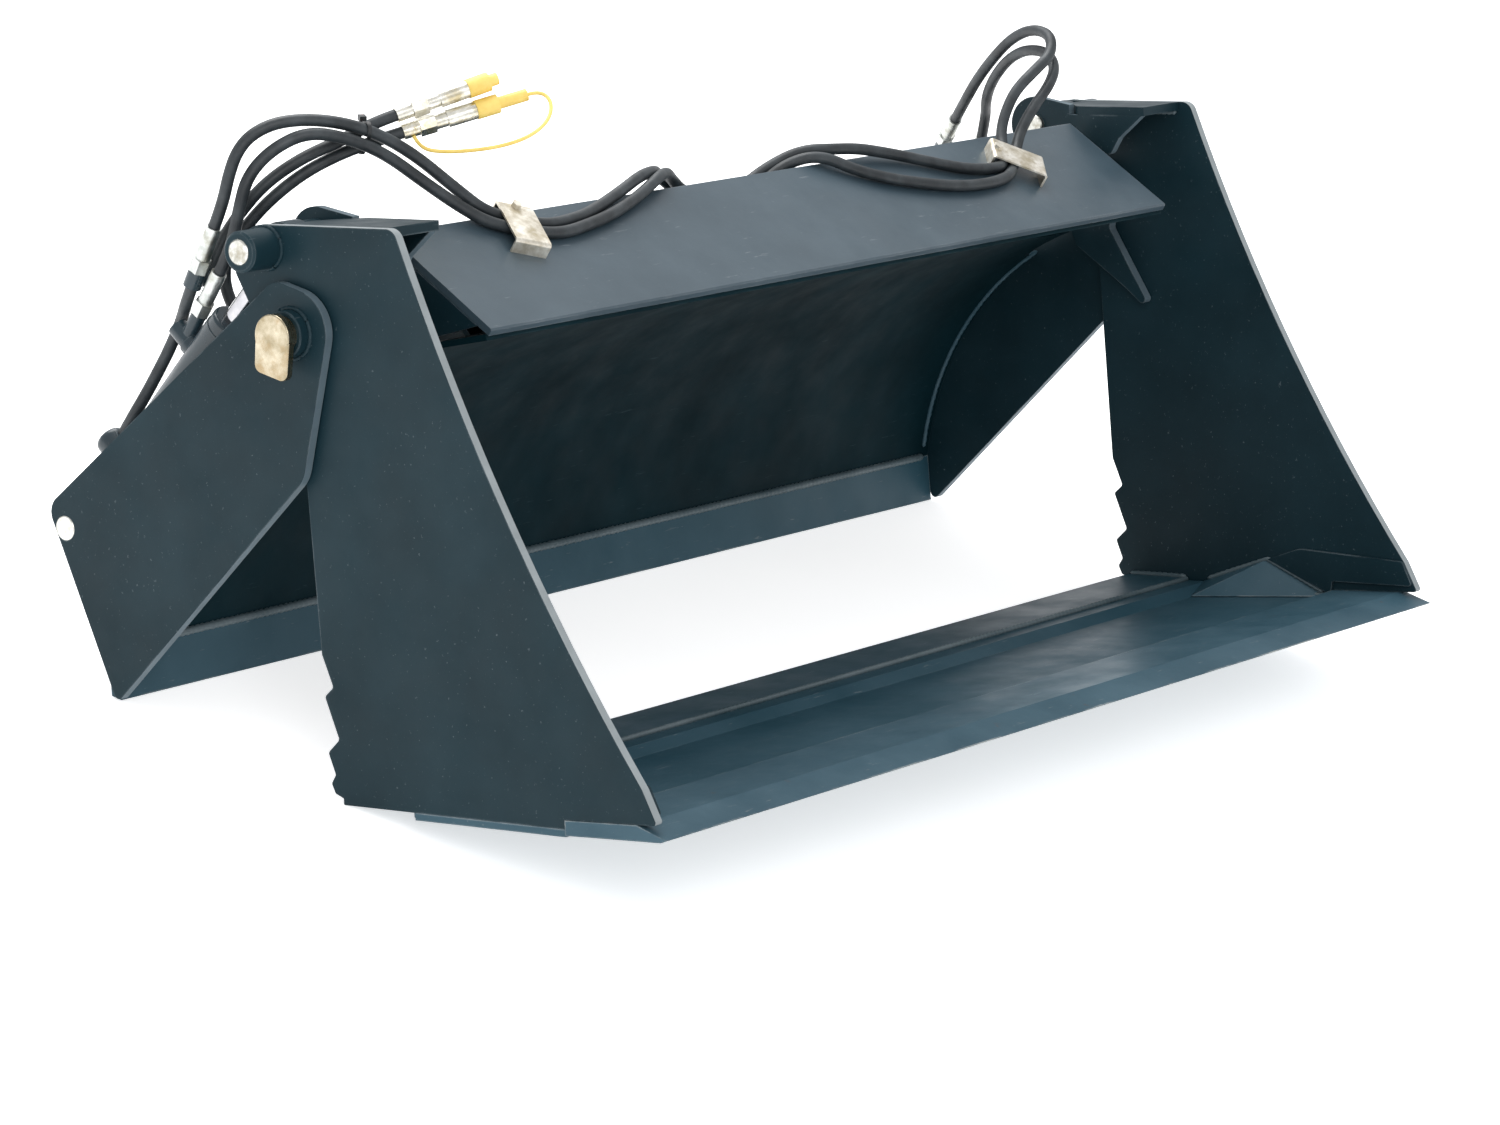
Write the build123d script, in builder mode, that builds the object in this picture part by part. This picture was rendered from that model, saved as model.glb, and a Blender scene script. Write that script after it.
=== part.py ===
"""Combination (four-in-one) bucket for a skid steer loader, as an assembly of separate pieces.

A rear body with a curved moldboard carries a front clam, which turns on two side pins and is worked by two
hydraulic cylinders behind the moldboard. The model stands with its jaws open, on the heel of the clam and on
the lip of the rear body. +X is to the right of a person who stands in front of the mouth and looks along +Y,
+Y points to the loader and +Z up. Side profiles are drawn as (y, z) from the clam's heel corner.
"""

from build123d import *
import math
import os

os.makedirs("parts", exist_ok=True)

SIDES = (("left", -1), ("right", 1))

# Overall sizes, in millimetres
WIDTH = 1829.0  # over the rear side plates, 72 in
FRONT_REACH = 492.0  # heel to the tip of the cutting edge
REAR_REACH = 540.0  # heel to the rear corner of the side plates
HEEL_Y = (FRONT_REACH - REAR_REACH) / 2

# Plate thicknesses
PLATE = 12.7
EAR = 16.0
SHEET = 8.0
FLOOR = 9.5
EDGE = 19.0

# Where the plates lie along X: inner and outer faces of the right-hand ones
REAR_PLATE_OUT = WIDTH / 2
REAR_PLATE_IN = REAR_PLATE_OUT - PLATE
CLAM_PLATE_OUT = REAR_PLATE_IN - 2.3
CLAM_PLATE_IN = CLAM_PLATE_OUT - PLATE
EAR_OUT = CLAM_PLATE_IN - 2.0
EAR_IN = EAR_OUT - EAR
DEFLECTOR_HALF = 764.0
BOX_END_IN = DEFLECTOR_HALF - PLATE
LUG_IN = 792.5
LUG_OUT = LUG_IN + PLATE
CYLINDER_X = 858.0
BASE_LUG_IN = 800.0
BASE_LUG_OUT = BASE_LUG_IN + PLATE
COUPLER_HALF = 570.0  # half the width of the quick-attach plate

# Pins, as (y, z) from the heel corner, and their radii
PIVOT = (190.0, 563.0)
BASE_PIN = (511.0, 195.0)
ROD_PIN = (264.0, 649.0)
LIP = (380.0, 0.0)
PIVOT_R = 19.0
PIN_R = 16.0
RUNNING = 0.05  # radial clearance of a pin in its hole
OPEN_BORE_R = 22.0  # rod eye bore, which leaves room for the four-bar arc

# Moldboard: an arc and a straight run that meets the deflector
MOLD_CENTRE = (-38.0, 120.0)
MOLD_R = 448.0
MOLD_LOW = -7.0  # degrees above the horizontal, where the arc meets the lip
MOLD_HIGH = 65.0
MOLD_NOTCH_Z = 430.0

# Deflector and the line of the back plate
DEFLECTOR_FRONT = (0.0, 610.0)
DEFLECTOR_REAR = (187.0, 677.0)
DEFLECTOR_T = 10.0
BACK_FOOT = (545.0, 215.0)
COUPLER_SET_IN = 38.0
COUPLER_TOP = 122.0
COUPLER_BOTTOM = 545.0
COUPLER_T = 10.0

# Cylinders
EYE_R = 30.0
EYE_W = 34.0
BARREL_R = 30.0
BORE_R = 25.0
BARREL_FOOT = 34.0
BARREL_TOP = 360.0
GLAND_TOP = 378.0
PISTON_Z = 120.0

# Hoses and their fittings
HOSE_R = 8.0
FERRULE_R = 10.0
FERRULE_L = 46.0
NUT_AF = 23.0
NUT_L = 19.0


def side_plane(x):
    """Plane of a side profile at x: its axes are +Y and +Z from the heel corner."""
    return Plane(origin=(x, HEEL_Y, 0), x_dir=(0, 1, 0), z_dir=(1, 0, 0))


def low_x(sign, inner, outer):
    """Lower x of a plate between inner and outer on the side given by sign."""
    return inner if sign > 0 else -outer


def on_back(distance, inset=0.0):
    """Point on the back line, at a distance below the deflector and set in from the line."""
    run = math.dist(DEFLECTOR_REAR, BACK_FOOT)
    uy = (BACK_FOOT[0] - DEFLECTOR_REAR[0]) / run
    uz = (BACK_FOOT[1] - DEFLECTOR_REAR[1]) / run
    return (
        DEFLECTOR_REAR[0] + uy * distance + uz * inset,
        DEFLECTOR_REAR[1] + uz * distance - uy * inset,
    )


def on_mold(angle, radius=MOLD_R):
    """Point on the moldboard's arc."""
    a = math.radians(angle)
    return (MOLD_CENTRE[0] + radius * math.cos(a), MOLD_CENTRE[1] + radius * math.sin(a))


def from_heel(points):
    """Points given with y from the heel corner, as points of the row frame."""
    return [Vector(x, y + HEEL_Y, z) for x, y, z in points]


def cylinder_plane(sign, height=0.0):
    """Plane across a cylinder's axis, at a height above its base pin. Its y axis points up and back."""
    along = Vector(0, ROD_PIN[0] - BASE_PIN[0], ROD_PIN[1] - BASE_PIN[1]).normalized()
    base = Vector(sign * CYLINDER_X, BASE_PIN[0] + HEEL_Y, BASE_PIN[1])
    return Plane(origin=base + along * height, x_dir=(1, 0, 0), z_dir=along)


def beside_cylinder(x, height, off):
    """Point at a height above the base pin and off the cylinder's axis to its upper rear, y from the heel."""
    place = cylinder_plane(0, height).from_local_coords(Vector(0, off, 0))
    return (x, place.Y - HEEL_Y, place.Z)


def bend_radii(points):
    """Radius for each corner of a hose route: 0.45 of the shorter run over the tangent of half the turn."""
    radii = []
    for before, corner, after in zip(points, points[1:], points[2:]):
        run_in = corner - before
        run_out = after - corner
        turn = math.radians(run_in.get_angle(run_out))
        radii.append(0.45 * min(run_in.length, run_out.length) / math.tan(turn / 2))
    return radii


def bar(start, end, radius, mode=Mode.ADD):
    """Adds a round bar between two points, given with y from the heel corner."""
    foot, head = from_heel([start, end])
    with BuildSketch(Plane(origin=foot, z_dir=head - foot)) as section:
        Circle(radius)
    extrude(section.sketch, amount=(head - foot).length, mode=mode)


def hexagon(start, end, across):
    """Adds a hexagonal bar between two points, given with y from the heel corner."""
    foot, head = from_heel([start, end])
    with BuildSketch(Plane(origin=foot, z_dir=head - foot)) as section:
        RegularPolygon(radius=across / 2, side_count=6, major_radius=False)
    extrude(section.sketch, amount=(head - foot).length)


def hose(name, route, radius):
    """Adds a round hose along straight runs joined by tangent arcs, and prints its length and radii."""
    points = from_heel(route)
    radii = bend_radii(points)
    with BuildLine():
        path = FilletPolyline(*points, radius=radii)
    with BuildSketch(Plane(origin=path @ 0, z_dir=path % 0)) as section:
        Circle(radius)
    sweep(section.sketch, path=path)
    rounded = ", ".join(f"{r:.0f}" for r in radii)
    print(f"{name}: length {path.length:.0f} mm, radii {rounded}")


def beyond(route, length):
    """Point on a route's first run, carried back by a length before its first point."""
    back = (Vector(*route[0]) - Vector(*route[1])).normalized() * length
    return tuple(Vector(*route[0]) + back)


CYLINDER_L = math.dist(ROD_PIN, BASE_PIN)

# ---------------------------------------------------------------- rear body

REAR_OUTLINE = [LIP, (546, 213), (232, 619), (134, 619), (134, 388)]
REAR_ROUNDS = [8, 24, 30, 54, 45]

for side, sign in SIDES:
    with BuildPart() as rear_plate:
        with BuildSketch(side_plane(low_x(sign, REAR_PLATE_IN, REAR_PLATE_OUT))):
            with BuildLine():
                FilletPolyline(*REAR_OUTLINE, radius=REAR_ROUNDS, close=True)
            make_face()
            with Locations(PIVOT):
                Circle(PIVOT_R + RUNNING, mode=Mode.SUBTRACT)
            with Locations(BASE_PIN):
                Circle(PIN_R + RUNNING, mode=Mode.SUBTRACT)
        extrude(amount=PLATE)
    rear_plate.part.label = f"{side}_rear_side_plate"
    export_step(rear_plate.part, f"parts/{side}_rear_side_plate.step")

EAR_OUTLINE = [(40, 410), (98, 437), (199, 474), (240, 522), (236, 609), (144, 609), (144, 540), (151, 518)]
EAR_ROUNDS = [6, 60, 8, 30, 43, 43, 12, 12]

with BuildPart() as pivot_ears:
    for side, sign in SIDES:
        with BuildSketch(side_plane(low_x(sign, EAR_IN, EAR_OUT))):
            with BuildLine():
                FilletPolyline(*EAR_OUTLINE, radius=EAR_ROUNDS, close=True)
            make_face()
            with Locations(PIVOT):
                Circle(PIVOT_R + RUNNING, mode=Mode.SUBTRACT)
        extrude(amount=EAR)
pivot_ears.part.label = "pivot_ears"
export_step(pivot_ears.part, "parts/pivot_ears.step")

MOLD_OUT = MOLD_R + SHEET
MOLD_END = (5.0, 594.0)
mold_turn = math.radians(MOLD_HIGH)
MOLD_END_OUT = (MOLD_END[0] + SHEET * math.cos(mold_turn), MOLD_END[1] + SHEET * math.sin(mold_turn))

with BuildPart() as moldboard:
    with BuildSketch(side_plane(-REAR_PLATE_IN)):
        with BuildLine():
            middle = (MOLD_LOW + MOLD_HIGH) / 2
            ThreePointArc(on_mold(MOLD_LOW), on_mold(middle), on_mold(MOLD_HIGH))
            Line(on_mold(MOLD_HIGH), MOLD_END)
            Line(MOLD_END, MOLD_END_OUT)
            Line(MOLD_END_OUT, on_mold(MOLD_HIGH, MOLD_OUT))
            ThreePointArc(on_mold(MOLD_HIGH, MOLD_OUT), on_mold(middle, MOLD_OUT), on_mold(MOLD_LOW, MOLD_OUT))
            Line(on_mold(MOLD_LOW, MOLD_OUT), on_mold(MOLD_LOW))
        make_face()
    extrude(amount=2 * REAR_PLATE_IN)
    for side, sign in SIDES:
        with BuildSketch(side_plane(low_x(sign, EAR_IN, REAR_PLATE_IN))):
            with Locations((150, MOLD_NOTCH_Z + 150)):
                Rectangle(700, 300)
        extrude(amount=REAR_PLATE_IN - EAR_IN, mode=Mode.SUBTRACT)
        with BuildSketch(side_plane(low_x(sign, DEFLECTOR_HALF, EAR_IN))):
            with Locations((0, 640)):
                Rectangle(440, 300)
        extrude(amount=EAR_IN - DEFLECTOR_HALF, mode=Mode.SUBTRACT)
moldboard.part.label = "moldboard"
export_step(moldboard.part, "parts/moldboard.step")

LIP_T = 16.0
with BuildPart() as rear_lip:
    with BuildSketch(side_plane(-REAR_PLATE_IN)):
        with BuildLine():
            Polyline(
                on_mold(MOLD_LOW),
                on_mold(MOLD_LOW, MOLD_R + LIP_T),
                (LIP[0] + 22, 0),
                (LIP[0] + 5, 0),
                close=True,
            )
        make_face()
    extrude(amount=2 * REAR_PLATE_IN)
rear_lip.part.label = "rear_lip"
export_step(rear_lip.part, "parts/rear_lip.step")

slope = math.atan2(DEFLECTOR_REAR[1] - DEFLECTOR_FRONT[1], DEFLECTOR_REAR[0] - DEFLECTOR_FRONT[0])
drop = (DEFLECTOR_T * math.sin(slope), -DEFLECTOR_T * math.cos(slope))
with BuildPart() as deflector:
    with BuildSketch(side_plane(-DEFLECTOR_HALF)):
        with BuildLine():
            Polyline(
                DEFLECTOR_FRONT,
                DEFLECTOR_REAR,
                (DEFLECTOR_REAR[0] + drop[0], DEFLECTOR_REAR[1] + drop[1]),
                (DEFLECTOR_FRONT[0] + drop[0], DEFLECTOR_FRONT[1] + drop[1]),
                close=True,
            )
        make_face()
    extrude(amount=2 * DEFLECTOR_HALF)
    chamfer(deflector.edges().filter_by(Axis.X).group_by(Axis.Y)[0], length=2)
deflector.part.label = "deflector"
export_step(deflector.part, "parts/deflector.step")

with BuildPart() as back_plate:
    with BuildSketch(side_plane(-DEFLECTOR_HALF)):
        with BuildLine():
            Polyline(
                (DEFLECTOR_REAR[0] + drop[0], DEFLECTOR_REAR[1] + drop[1]),
                on_back(COUPLER_TOP, COUPLER_SET_IN),
                on_back(COUPLER_TOP, COUPLER_SET_IN + SHEET),
                (DEFLECTOR_REAR[0] + drop[0] - 11, DEFLECTOR_REAR[1] + drop[1] - 4),
                close=True,
            )
        make_face()
    extrude(amount=2 * DEFLECTOR_HALF)
back_plate.part.label = "back_plate"
export_step(back_plate.part, "parts/back_plate.step")

# Quick-attach plate: one bent plate with a hook along its top and a slotted ledge along its foot
HOOK = 50.0
HOOK_ANGLE = -10.0
LEDGE = 50.0
LEDGE_ANGLE = 10.0
SLOT_L = 60.0
SLOT_W = 26.0
SLOT_X = 425.0


def reach(start, length, angle):
    """Point at a length from start, at an angle above +Y."""
    a = math.radians(angle)
    return (start[0] + length * math.cos(a), start[1] + length * math.sin(a))


COUPLER_HEAD = on_back(COUPLER_TOP, COUPLER_SET_IN + COUPLER_T / 2)
COUPLER_FOOT = on_back(COUPLER_BOTTOM, COUPLER_SET_IN + COUPLER_T / 2)
HOOK_TIP = reach(COUPLER_HEAD, HOOK, HOOK_ANGLE)
LEDGE_TIP = reach(COUPLER_FOOT, LEDGE, LEDGE_ANGLE)
slot_y, slot_z = reach(COUPLER_FOOT, 0.58 * LEDGE, LEDGE_ANGLE)
lean = math.radians(LEDGE_ANGLE)
SLOT_PLANE = Plane(
    origin=(0, slot_y + HEEL_Y, slot_z), x_dir=(1, 0, 0), z_dir=(0, -math.sin(lean), math.cos(lean))
)

with BuildPart() as quick_attach_plate:
    with BuildSketch(side_plane(-COUPLER_HALF)):
        with BuildLine():
            FilletPolyline(HOOK_TIP, COUPLER_HEAD, COUPLER_FOOT, LEDGE_TIP, radius=[14, 14])
        trace(line_width=COUPLER_T)
    extrude(amount=2 * COUPLER_HALF)
    with BuildSketch(SLOT_PLANE):
        with Locations((-SLOT_X, 0), (SLOT_X, 0)):
            SlotOverall(SLOT_L, SLOT_W)
    extrude(amount=COUPLER_T, both=True, mode=Mode.SUBTRACT)
quick_attach_plate.part.label = "quick_attach_plate"
export_step(quick_attach_plate.part, "parts/quick_attach_plate.step")

# Ribs that tie the moldboard to the quick-attach plate
RIB_T = 10.0
RIB_X = (-540.0, -180.0, 180.0, 540.0)
RIB_GAP = 0.2
with BuildPart() as quick_attach_ribs:
    for x in RIB_X:
        with BuildSketch(side_plane(x - RIB_T / 2)):
            with BuildLine():
                Polyline(
                    on_back(150, COUPLER_SET_IN + COUPLER_T),
                    on_back(COUPLER_BOTTOM - 14, COUPLER_SET_IN + COUPLER_T),
                    (425, 75),
                    (380, 75),
                    (200, 500),
                    close=True,
                )
            make_face()
            with Locations(MOLD_CENTRE):
                Circle(MOLD_OUT + RIB_GAP, mode=Mode.SUBTRACT)
        extrude(amount=RIB_T)
quick_attach_ribs.part.label = "quick_attach_ribs"
export_step(quick_attach_ribs.part, "parts/quick_attach_ribs.step")

# End plates of the hollow beam between the moldboard, the deflector and the back plate
with BuildPart() as beam_end_plates:
    for side, sign in SIDES:
        with BuildSketch(side_plane(low_x(sign, BOX_END_IN, DEFLECTOR_HALF))):
            with BuildLine():
                Polyline(
                    (24, 607),
                    (180, 662),
                    on_back(COUPLER_TOP - 2, COUPLER_SET_IN + SHEET + 1),
                    (222, 512),
                    on_mold(MOLD_HIGH, MOLD_OUT + 1),
                    close=True,
                )
            make_face()
            with Locations(PIVOT):
                Circle(PIVOT_R + RUNNING, mode=Mode.SUBTRACT)
        extrude(amount=PLATE)
beam_end_plates.part.label = "beam_end_plates"
export_step(beam_end_plates.part, "parts/beam_end_plates.step")

# Tubes that carry the inner ends of the pivot pins, from the beam's ends to the ears
PIVOT_TUBE_R = 36.0
with BuildPart() as pivot_tubes:
    for side, sign in SIDES:
        with BuildSketch(side_plane(low_x(sign, DEFLECTOR_HALF, EAR_IN))):
            with Locations(PIVOT):
                Circle(PIVOT_TUBE_R)
                Circle(PIVOT_R + RUNNING, mode=Mode.SUBTRACT)
        extrude(amount=EAR_IN - DEFLECTOR_HALF)
pivot_tubes.part.label = "pivot_tubes"
export_step(pivot_tubes.part, "parts/pivot_tubes.step")

# Inner lugs of the cylinders' base pins, each with a boss up to the cylinder's eye
EYE_IN = CYLINDER_X - EYE_W / 2
EYE_OUT = CYLINDER_X + EYE_W / 2
PLAY = 0.5  # side play of an eye between its spacers
SPACER_R = 27.0
LUG_OUTLINE = [(380, 85), (455, 92), (541, 172), (541, 228), (480, 236), (380, 236)]
LUG_ROUNDS = [0, 30, 27, 27, 20, 0]

with BuildPart() as cylinder_base_lugs:
    for side, sign in SIDES:
        with BuildSketch(side_plane(low_x(sign, BASE_LUG_IN, BASE_LUG_OUT))):
            with BuildLine():
                FilletPolyline(*LUG_OUTLINE, radius=LUG_ROUNDS, close=True)
            make_face()
            with Locations(MOLD_CENTRE):
                Circle(MOLD_OUT + RIB_GAP, mode=Mode.SUBTRACT)
            with Locations(BASE_PIN):
                Circle(PIN_R + RUNNING, mode=Mode.SUBTRACT)
        extrude(amount=PLATE)
        for inner, outer in ((BASE_LUG_OUT, EYE_IN - PLAY), (EYE_OUT + PLAY, REAR_PLATE_IN)):
            with BuildSketch(side_plane(low_x(sign, inner, outer))):
                with Locations(BASE_PIN):
                    Circle(SPACER_R)
                    Circle(PIN_R + RUNNING, mode=Mode.SUBTRACT)
            extrude(amount=outer - inner)
cylinder_base_lugs.part.label = "cylinder_base_lugs"
export_step(cylinder_base_lugs.part, "parts/cylinder_base_lugs.step")

with BuildPart() as cylinder_base_pins:
    for side, sign in SIDES:
        with BuildSketch(side_plane(low_x(sign, BASE_LUG_IN - 6, REAR_PLATE_OUT + 1))):
            with Locations(BASE_PIN):
                Circle(PIN_R)
        extrude(amount=REAR_PLATE_OUT + 1 - BASE_LUG_IN + 6)
    chamfer(cylinder_base_pins.edges().filter_by(GeomType.CIRCLE), length=1)
cylinder_base_pins.part.label = "cylinder_base_pins"
export_step(cylinder_base_pins.part, "parts/cylinder_base_pins.step")

# Pivot bosses on the outer faces, and the flag pins through them
BOSS_R = 30.0
BOSS_L = 17.0
BOSS_OUT = REAR_PLATE_OUT + BOSS_L
NECK_R = 24.0
NECK_L = 10.0
FLAG_T = 10.0
FLAG_R = 28.0
FLAG_IN = BOSS_OUT + NECK_L
FLAG_OUTLINE = [(161, 563), (155, 513), (209, 513), (217, 563)]

with BuildPart() as pivot_bosses:
    for side, sign in SIDES:
        with BuildSketch(side_plane(low_x(sign, REAR_PLATE_OUT, BOSS_OUT))):
            with Locations(PIVOT):
                Circle(BOSS_R)
                Circle(PIVOT_R + RUNNING, mode=Mode.SUBTRACT)
        extrude(amount=BOSS_L)
    outer_rims = pivot_bosses.edges().filter_by(GeomType.CIRCLE)
    chamfer([rim for rim in outer_rims if abs(rim.center().X) > REAR_PLATE_OUT + 1], length=1.5)
pivot_bosses.part.label = "pivot_bosses"
export_step(pivot_bosses.part, "parts/pivot_bosses.step")

for side, sign in SIDES:
    with BuildPart() as pivot_pin:
        with BuildSketch(side_plane(low_x(sign, DEFLECTOR_HALF - 6, BOSS_OUT))):
            with Locations(PIVOT):
                Circle(PIVOT_R)
        extrude(amount=BOSS_OUT - DEFLECTOR_HALF + 6)
        with BuildSketch(side_plane(low_x(sign, BOSS_OUT, FLAG_IN))):
            with Locations(PIVOT):
                Circle(NECK_R)
        extrude(amount=NECK_L)
        with BuildSketch(side_plane(low_x(sign, FLAG_IN, FLAG_IN + FLAG_T))):
            with Locations(PIVOT):
                Circle(FLAG_R)
            with BuildLine():
                FilletPolyline(*FLAG_OUTLINE, radius=[0, 11, 11, 0], close=True)
            make_face()
        extrude(amount=FLAG_T)
        rims = pivot_pin.faces().sort_by(Axis.X)[-1 if sign > 0 else 0].edges()
        fillet(rims, radius=2)
    pivot_pin.part.label = f"{side}_pivot_pin"
    export_step(pivot_pin.part, f"parts/{side}_pivot_pin.step")

# ---------------------------------------------------------------- clam

HEEL = (0.0, 0.0)
TOP_FRONT = (70.0, 733.0)
KINK = (-443.0, 188.0)
EDGE_TIP = (-474.0, 153.0)
EDGE_STEP_Y = -342.0
FRONT_SAG = (-170.0, 444.0)
FLOOR_SLOPE = math.radians(16.0)


def under(y, below=0.0):
    """Point of the clam's underside line at y, moved square to it by a distance below it."""
    return (y - below * math.sin(FLOOR_SLOPE), -y * math.tan(FLOOR_SLOPE) - below * math.cos(FLOOR_SLOPE))


def over(y, above):
    """Point square above the clam's underside line at y."""
    return under(y, -above)


TEETH = [(2, 8), (16, 9.5), (25, 20), (20.5, 33), (38, 57), (24, 79), (58, 125), (47, 141), (73.5, 176)]
CLAM_PATH = [KINK, EDGE_TIP, over(EDGE_STEP_Y, 11.5), under(EDGE_STEP_Y), HEEL, *TEETH]
CLAM_PATH += [(166, 458), (309, 606), (303, 668), TOP_FRONT]
CLAM_ROUNDS = [4, 0, 2, 2, 2, 4, 5, 4, 5, 5, 5, 5, 8, 90, 16, 40]

for side, sign in SIDES:
    with BuildPart() as clam_plate:
        with BuildSketch(side_plane(low_x(sign, CLAM_PLATE_IN, CLAM_PLATE_OUT))):
            with BuildLine():
                FilletPolyline(*CLAM_PATH, radius=CLAM_ROUNDS)
                ThreePointArc(TOP_FRONT, FRONT_SAG, KINK)
            make_face()
            fillet(vertices().sort_by(Axis.Y)[-1], radius=18)
            with Locations(PIVOT):
                Circle(25.0, mode=Mode.SUBTRACT)
            with Locations(ROD_PIN):
                Circle(PIN_R + RUNNING, mode=Mode.SUBTRACT)
        extrude(amount=PLATE)
    clam_plate.part.label = f"{side}_clam_side_plate"
    export_step(clam_plate.part, f"parts/{side}_clam_side_plate.step")

with BuildPart() as pivot_bushings:
    for side, sign in SIDES:
        with BuildSketch(side_plane(low_x(sign, CLAM_PLATE_IN - 0.8, CLAM_PLATE_OUT + 0.8))):
            with Locations(PIVOT):
                Circle(25.0)
                Circle(PIVOT_R + RUNNING, mode=Mode.SUBTRACT)
        extrude(amount=PLATE + 1.6)
pivot_bushings.part.label = "pivot_bushings"
export_step(pivot_bushings.part, "parts/pivot_bushings.step")

HEEL_FRONT_Y = -100.0
with BuildPart() as heel_strip:
    with BuildSketch(side_plane(-CLAM_PLATE_IN)):
        with BuildLine():
            Polyline(under(-1), over(-1, 15), over(HEEL_FRONT_Y, 15), under(HEEL_FRONT_Y), close=True)
        make_face()
    extrude(amount=2 * CLAM_PLATE_IN)
heel_strip.part.label = "heel_strip"
export_step(heel_strip.part, "parts/heel_strip.step")

# The floor plate lies under the side plates, in front of the heel strip
with BuildPart() as clam_floor:
    with BuildSketch(side_plane(-CLAM_PLATE_OUT)):
        with BuildLine():
            Polyline(
                under(-112, FLOOR), under(-112), under(EDGE_STEP_Y), under(EDGE_STEP_Y, FLOOR), close=True
            )
        make_face()
    extrude(amount=2 * CLAM_PLATE_OUT)
    with BuildSketch(side_plane(-CLAM_PLATE_IN)):
        with BuildLine():
            Polyline(
                under(HEEL_FRONT_Y, FLOOR),
                over(HEEL_FRONT_Y, 11),
                over(-130, 11),
                under(-150),
                under(-150, FLOOR),
                close=True,
            )
        make_face()
    extrude(amount=2 * CLAM_PLATE_IN)
clam_floor.part.label = "clam_floor"
export_step(clam_floor.part, "parts/clam_floor.step")

EDGE_TOP = over(EDGE_STEP_Y, 11.5)
BEVEL = 0.78  # where the bevel starts, along the side plate's lower front edge
with BuildPart() as cutting_edge:
    with BuildSketch(side_plane(-CLAM_PLATE_OUT - 1)):
        with BuildLine():
            Polyline(
                EDGE_TOP,
                (
                    EDGE_TOP[0] + BEVEL * (EDGE_TIP[0] - EDGE_TOP[0]),
                    EDGE_TOP[1] + BEVEL * (EDGE_TIP[1] - EDGE_TOP[1]),
                ),
                (-FRONT_REACH, 141),
                (-FRONT_REACH + 8, 135),
                under(EDGE_STEP_Y, EDGE - 11.5),
                close=True,
            )
        make_face()
    extrude(amount=2 * CLAM_PLATE_OUT + 2)
cutting_edge.part.label = "cutting_edge"
export_step(cutting_edge.part, "parts/cutting_edge.step")

# Flanges along the tops of the side plates, with their rear inner corners cut off
TOP_REAR = (303.0, 668.0)
TOP_RUN = math.dist(TOP_FRONT, TOP_REAR)


def along_top(distance, depth=0.0):
    """Point on the side plate's top edge, at a distance from its front end and a depth below it."""
    uy = (TOP_REAR[0] - TOP_FRONT[0]) / TOP_RUN
    uz = (TOP_REAR[1] - TOP_FRONT[1]) / TOP_RUN
    return (TOP_FRONT[0] + uy * distance + uz * depth, TOP_FRONT[1] + uz * distance - uy * depth)


FLANGE_START = 18.0
FLANGE_END = 179.0
FLANGE_CUT = 46.0
with BuildPart() as top_flanges:
    for side, sign in SIDES:
        with BuildSketch(side_plane(low_x(sign, LUG_IN, CLAM_PLATE_IN))):
            with BuildLine():
                Polyline(
                    along_top(FLANGE_START),
                    along_top(FLANGE_END),
                    along_top(FLANGE_END, PLATE),
                    along_top(FLANGE_START, PLATE),
                    close=True,
                )
            make_face()
        extrude(amount=CLAM_PLATE_IN - LUG_IN)
    rear_edges = top_flanges.edges().filter_by(lambda edge: abs(edge.length - PLATE) < 0.01).sort_by(Axis.Y)
    inner_rear = [edge for edge in rear_edges[-4:] if abs(edge.center().X) < LUG_OUT]
    chamfer(inner_rear, length=FLANGE_CUT)
top_flanges.part.label = "top_flanges"
export_step(top_flanges.part, "parts/top_flanges.step")

# Inner lugs of the rod pins, welded under the flanges
ROD_LUG_R = 42.0
LUG_UNDER = FLANGE_END - FLANGE_CUT
with BuildPart() as rod_lugs:
    for side, sign in SIDES:
        with BuildSketch(side_plane(low_x(sign, LUG_IN, LUG_OUT))):
            with BuildLine():
                FilletPolyline(
                    along_top(FLANGE_START + 4, PLATE),
                    along_top(LUG_UNDER + PLATE + 2, PLATE),
                    along_top(LUG_UNDER + PLATE + 2, -2),
                    (ROD_PIN[0], ROD_PIN[1] + ROD_LUG_R),
                    (ROD_PIN[0] - 15, ROD_PIN[1] - ROD_LUG_R + 2),
                    (225, 609),
                    (160, 632),
                    (126, 645),
                    (118, 672),
                    radius=[0, 0, 0, 0, 0, 30, 20, 12, 0],
                    close=True,
                )
            make_face()
            with Locations(ROD_PIN):
                Circle(ROD_LUG_R)
                Circle(PIN_R + RUNNING, mode=Mode.SUBTRACT)
        extrude(amount=PLATE)
rod_lugs.part.label = "rod_lugs"
export_step(rod_lugs.part, "parts/rod_lugs.step")

ROD_BOSS_R = 26.0
ROD_BOSS_OUT = CLAM_PLATE_OUT + 50
with BuildPart() as rod_pin_bosses:
    for side, sign in SIDES:
        with BuildSketch(side_plane(low_x(sign, CLAM_PLATE_OUT, ROD_BOSS_OUT))):
            with Locations(ROD_PIN):
                Circle(ROD_BOSS_R)
                Circle(PIN_R + RUNNING, mode=Mode.SUBTRACT)
        extrude(amount=ROD_BOSS_OUT - CLAM_PLATE_OUT)
    rims = rod_pin_bosses.edges().filter_by(GeomType.CIRCLE)
    outer_rims = [rim for rim in rims if abs(rim.center().X) > ROD_BOSS_OUT - 1 and rim.radius > PIN_R + 1]
    chamfer(outer_rims, length=3)
rod_pin_bosses.part.label = "rod_pin_bosses"
export_step(rod_pin_bosses.part, "parts/rod_pin_bosses.step")

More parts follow.
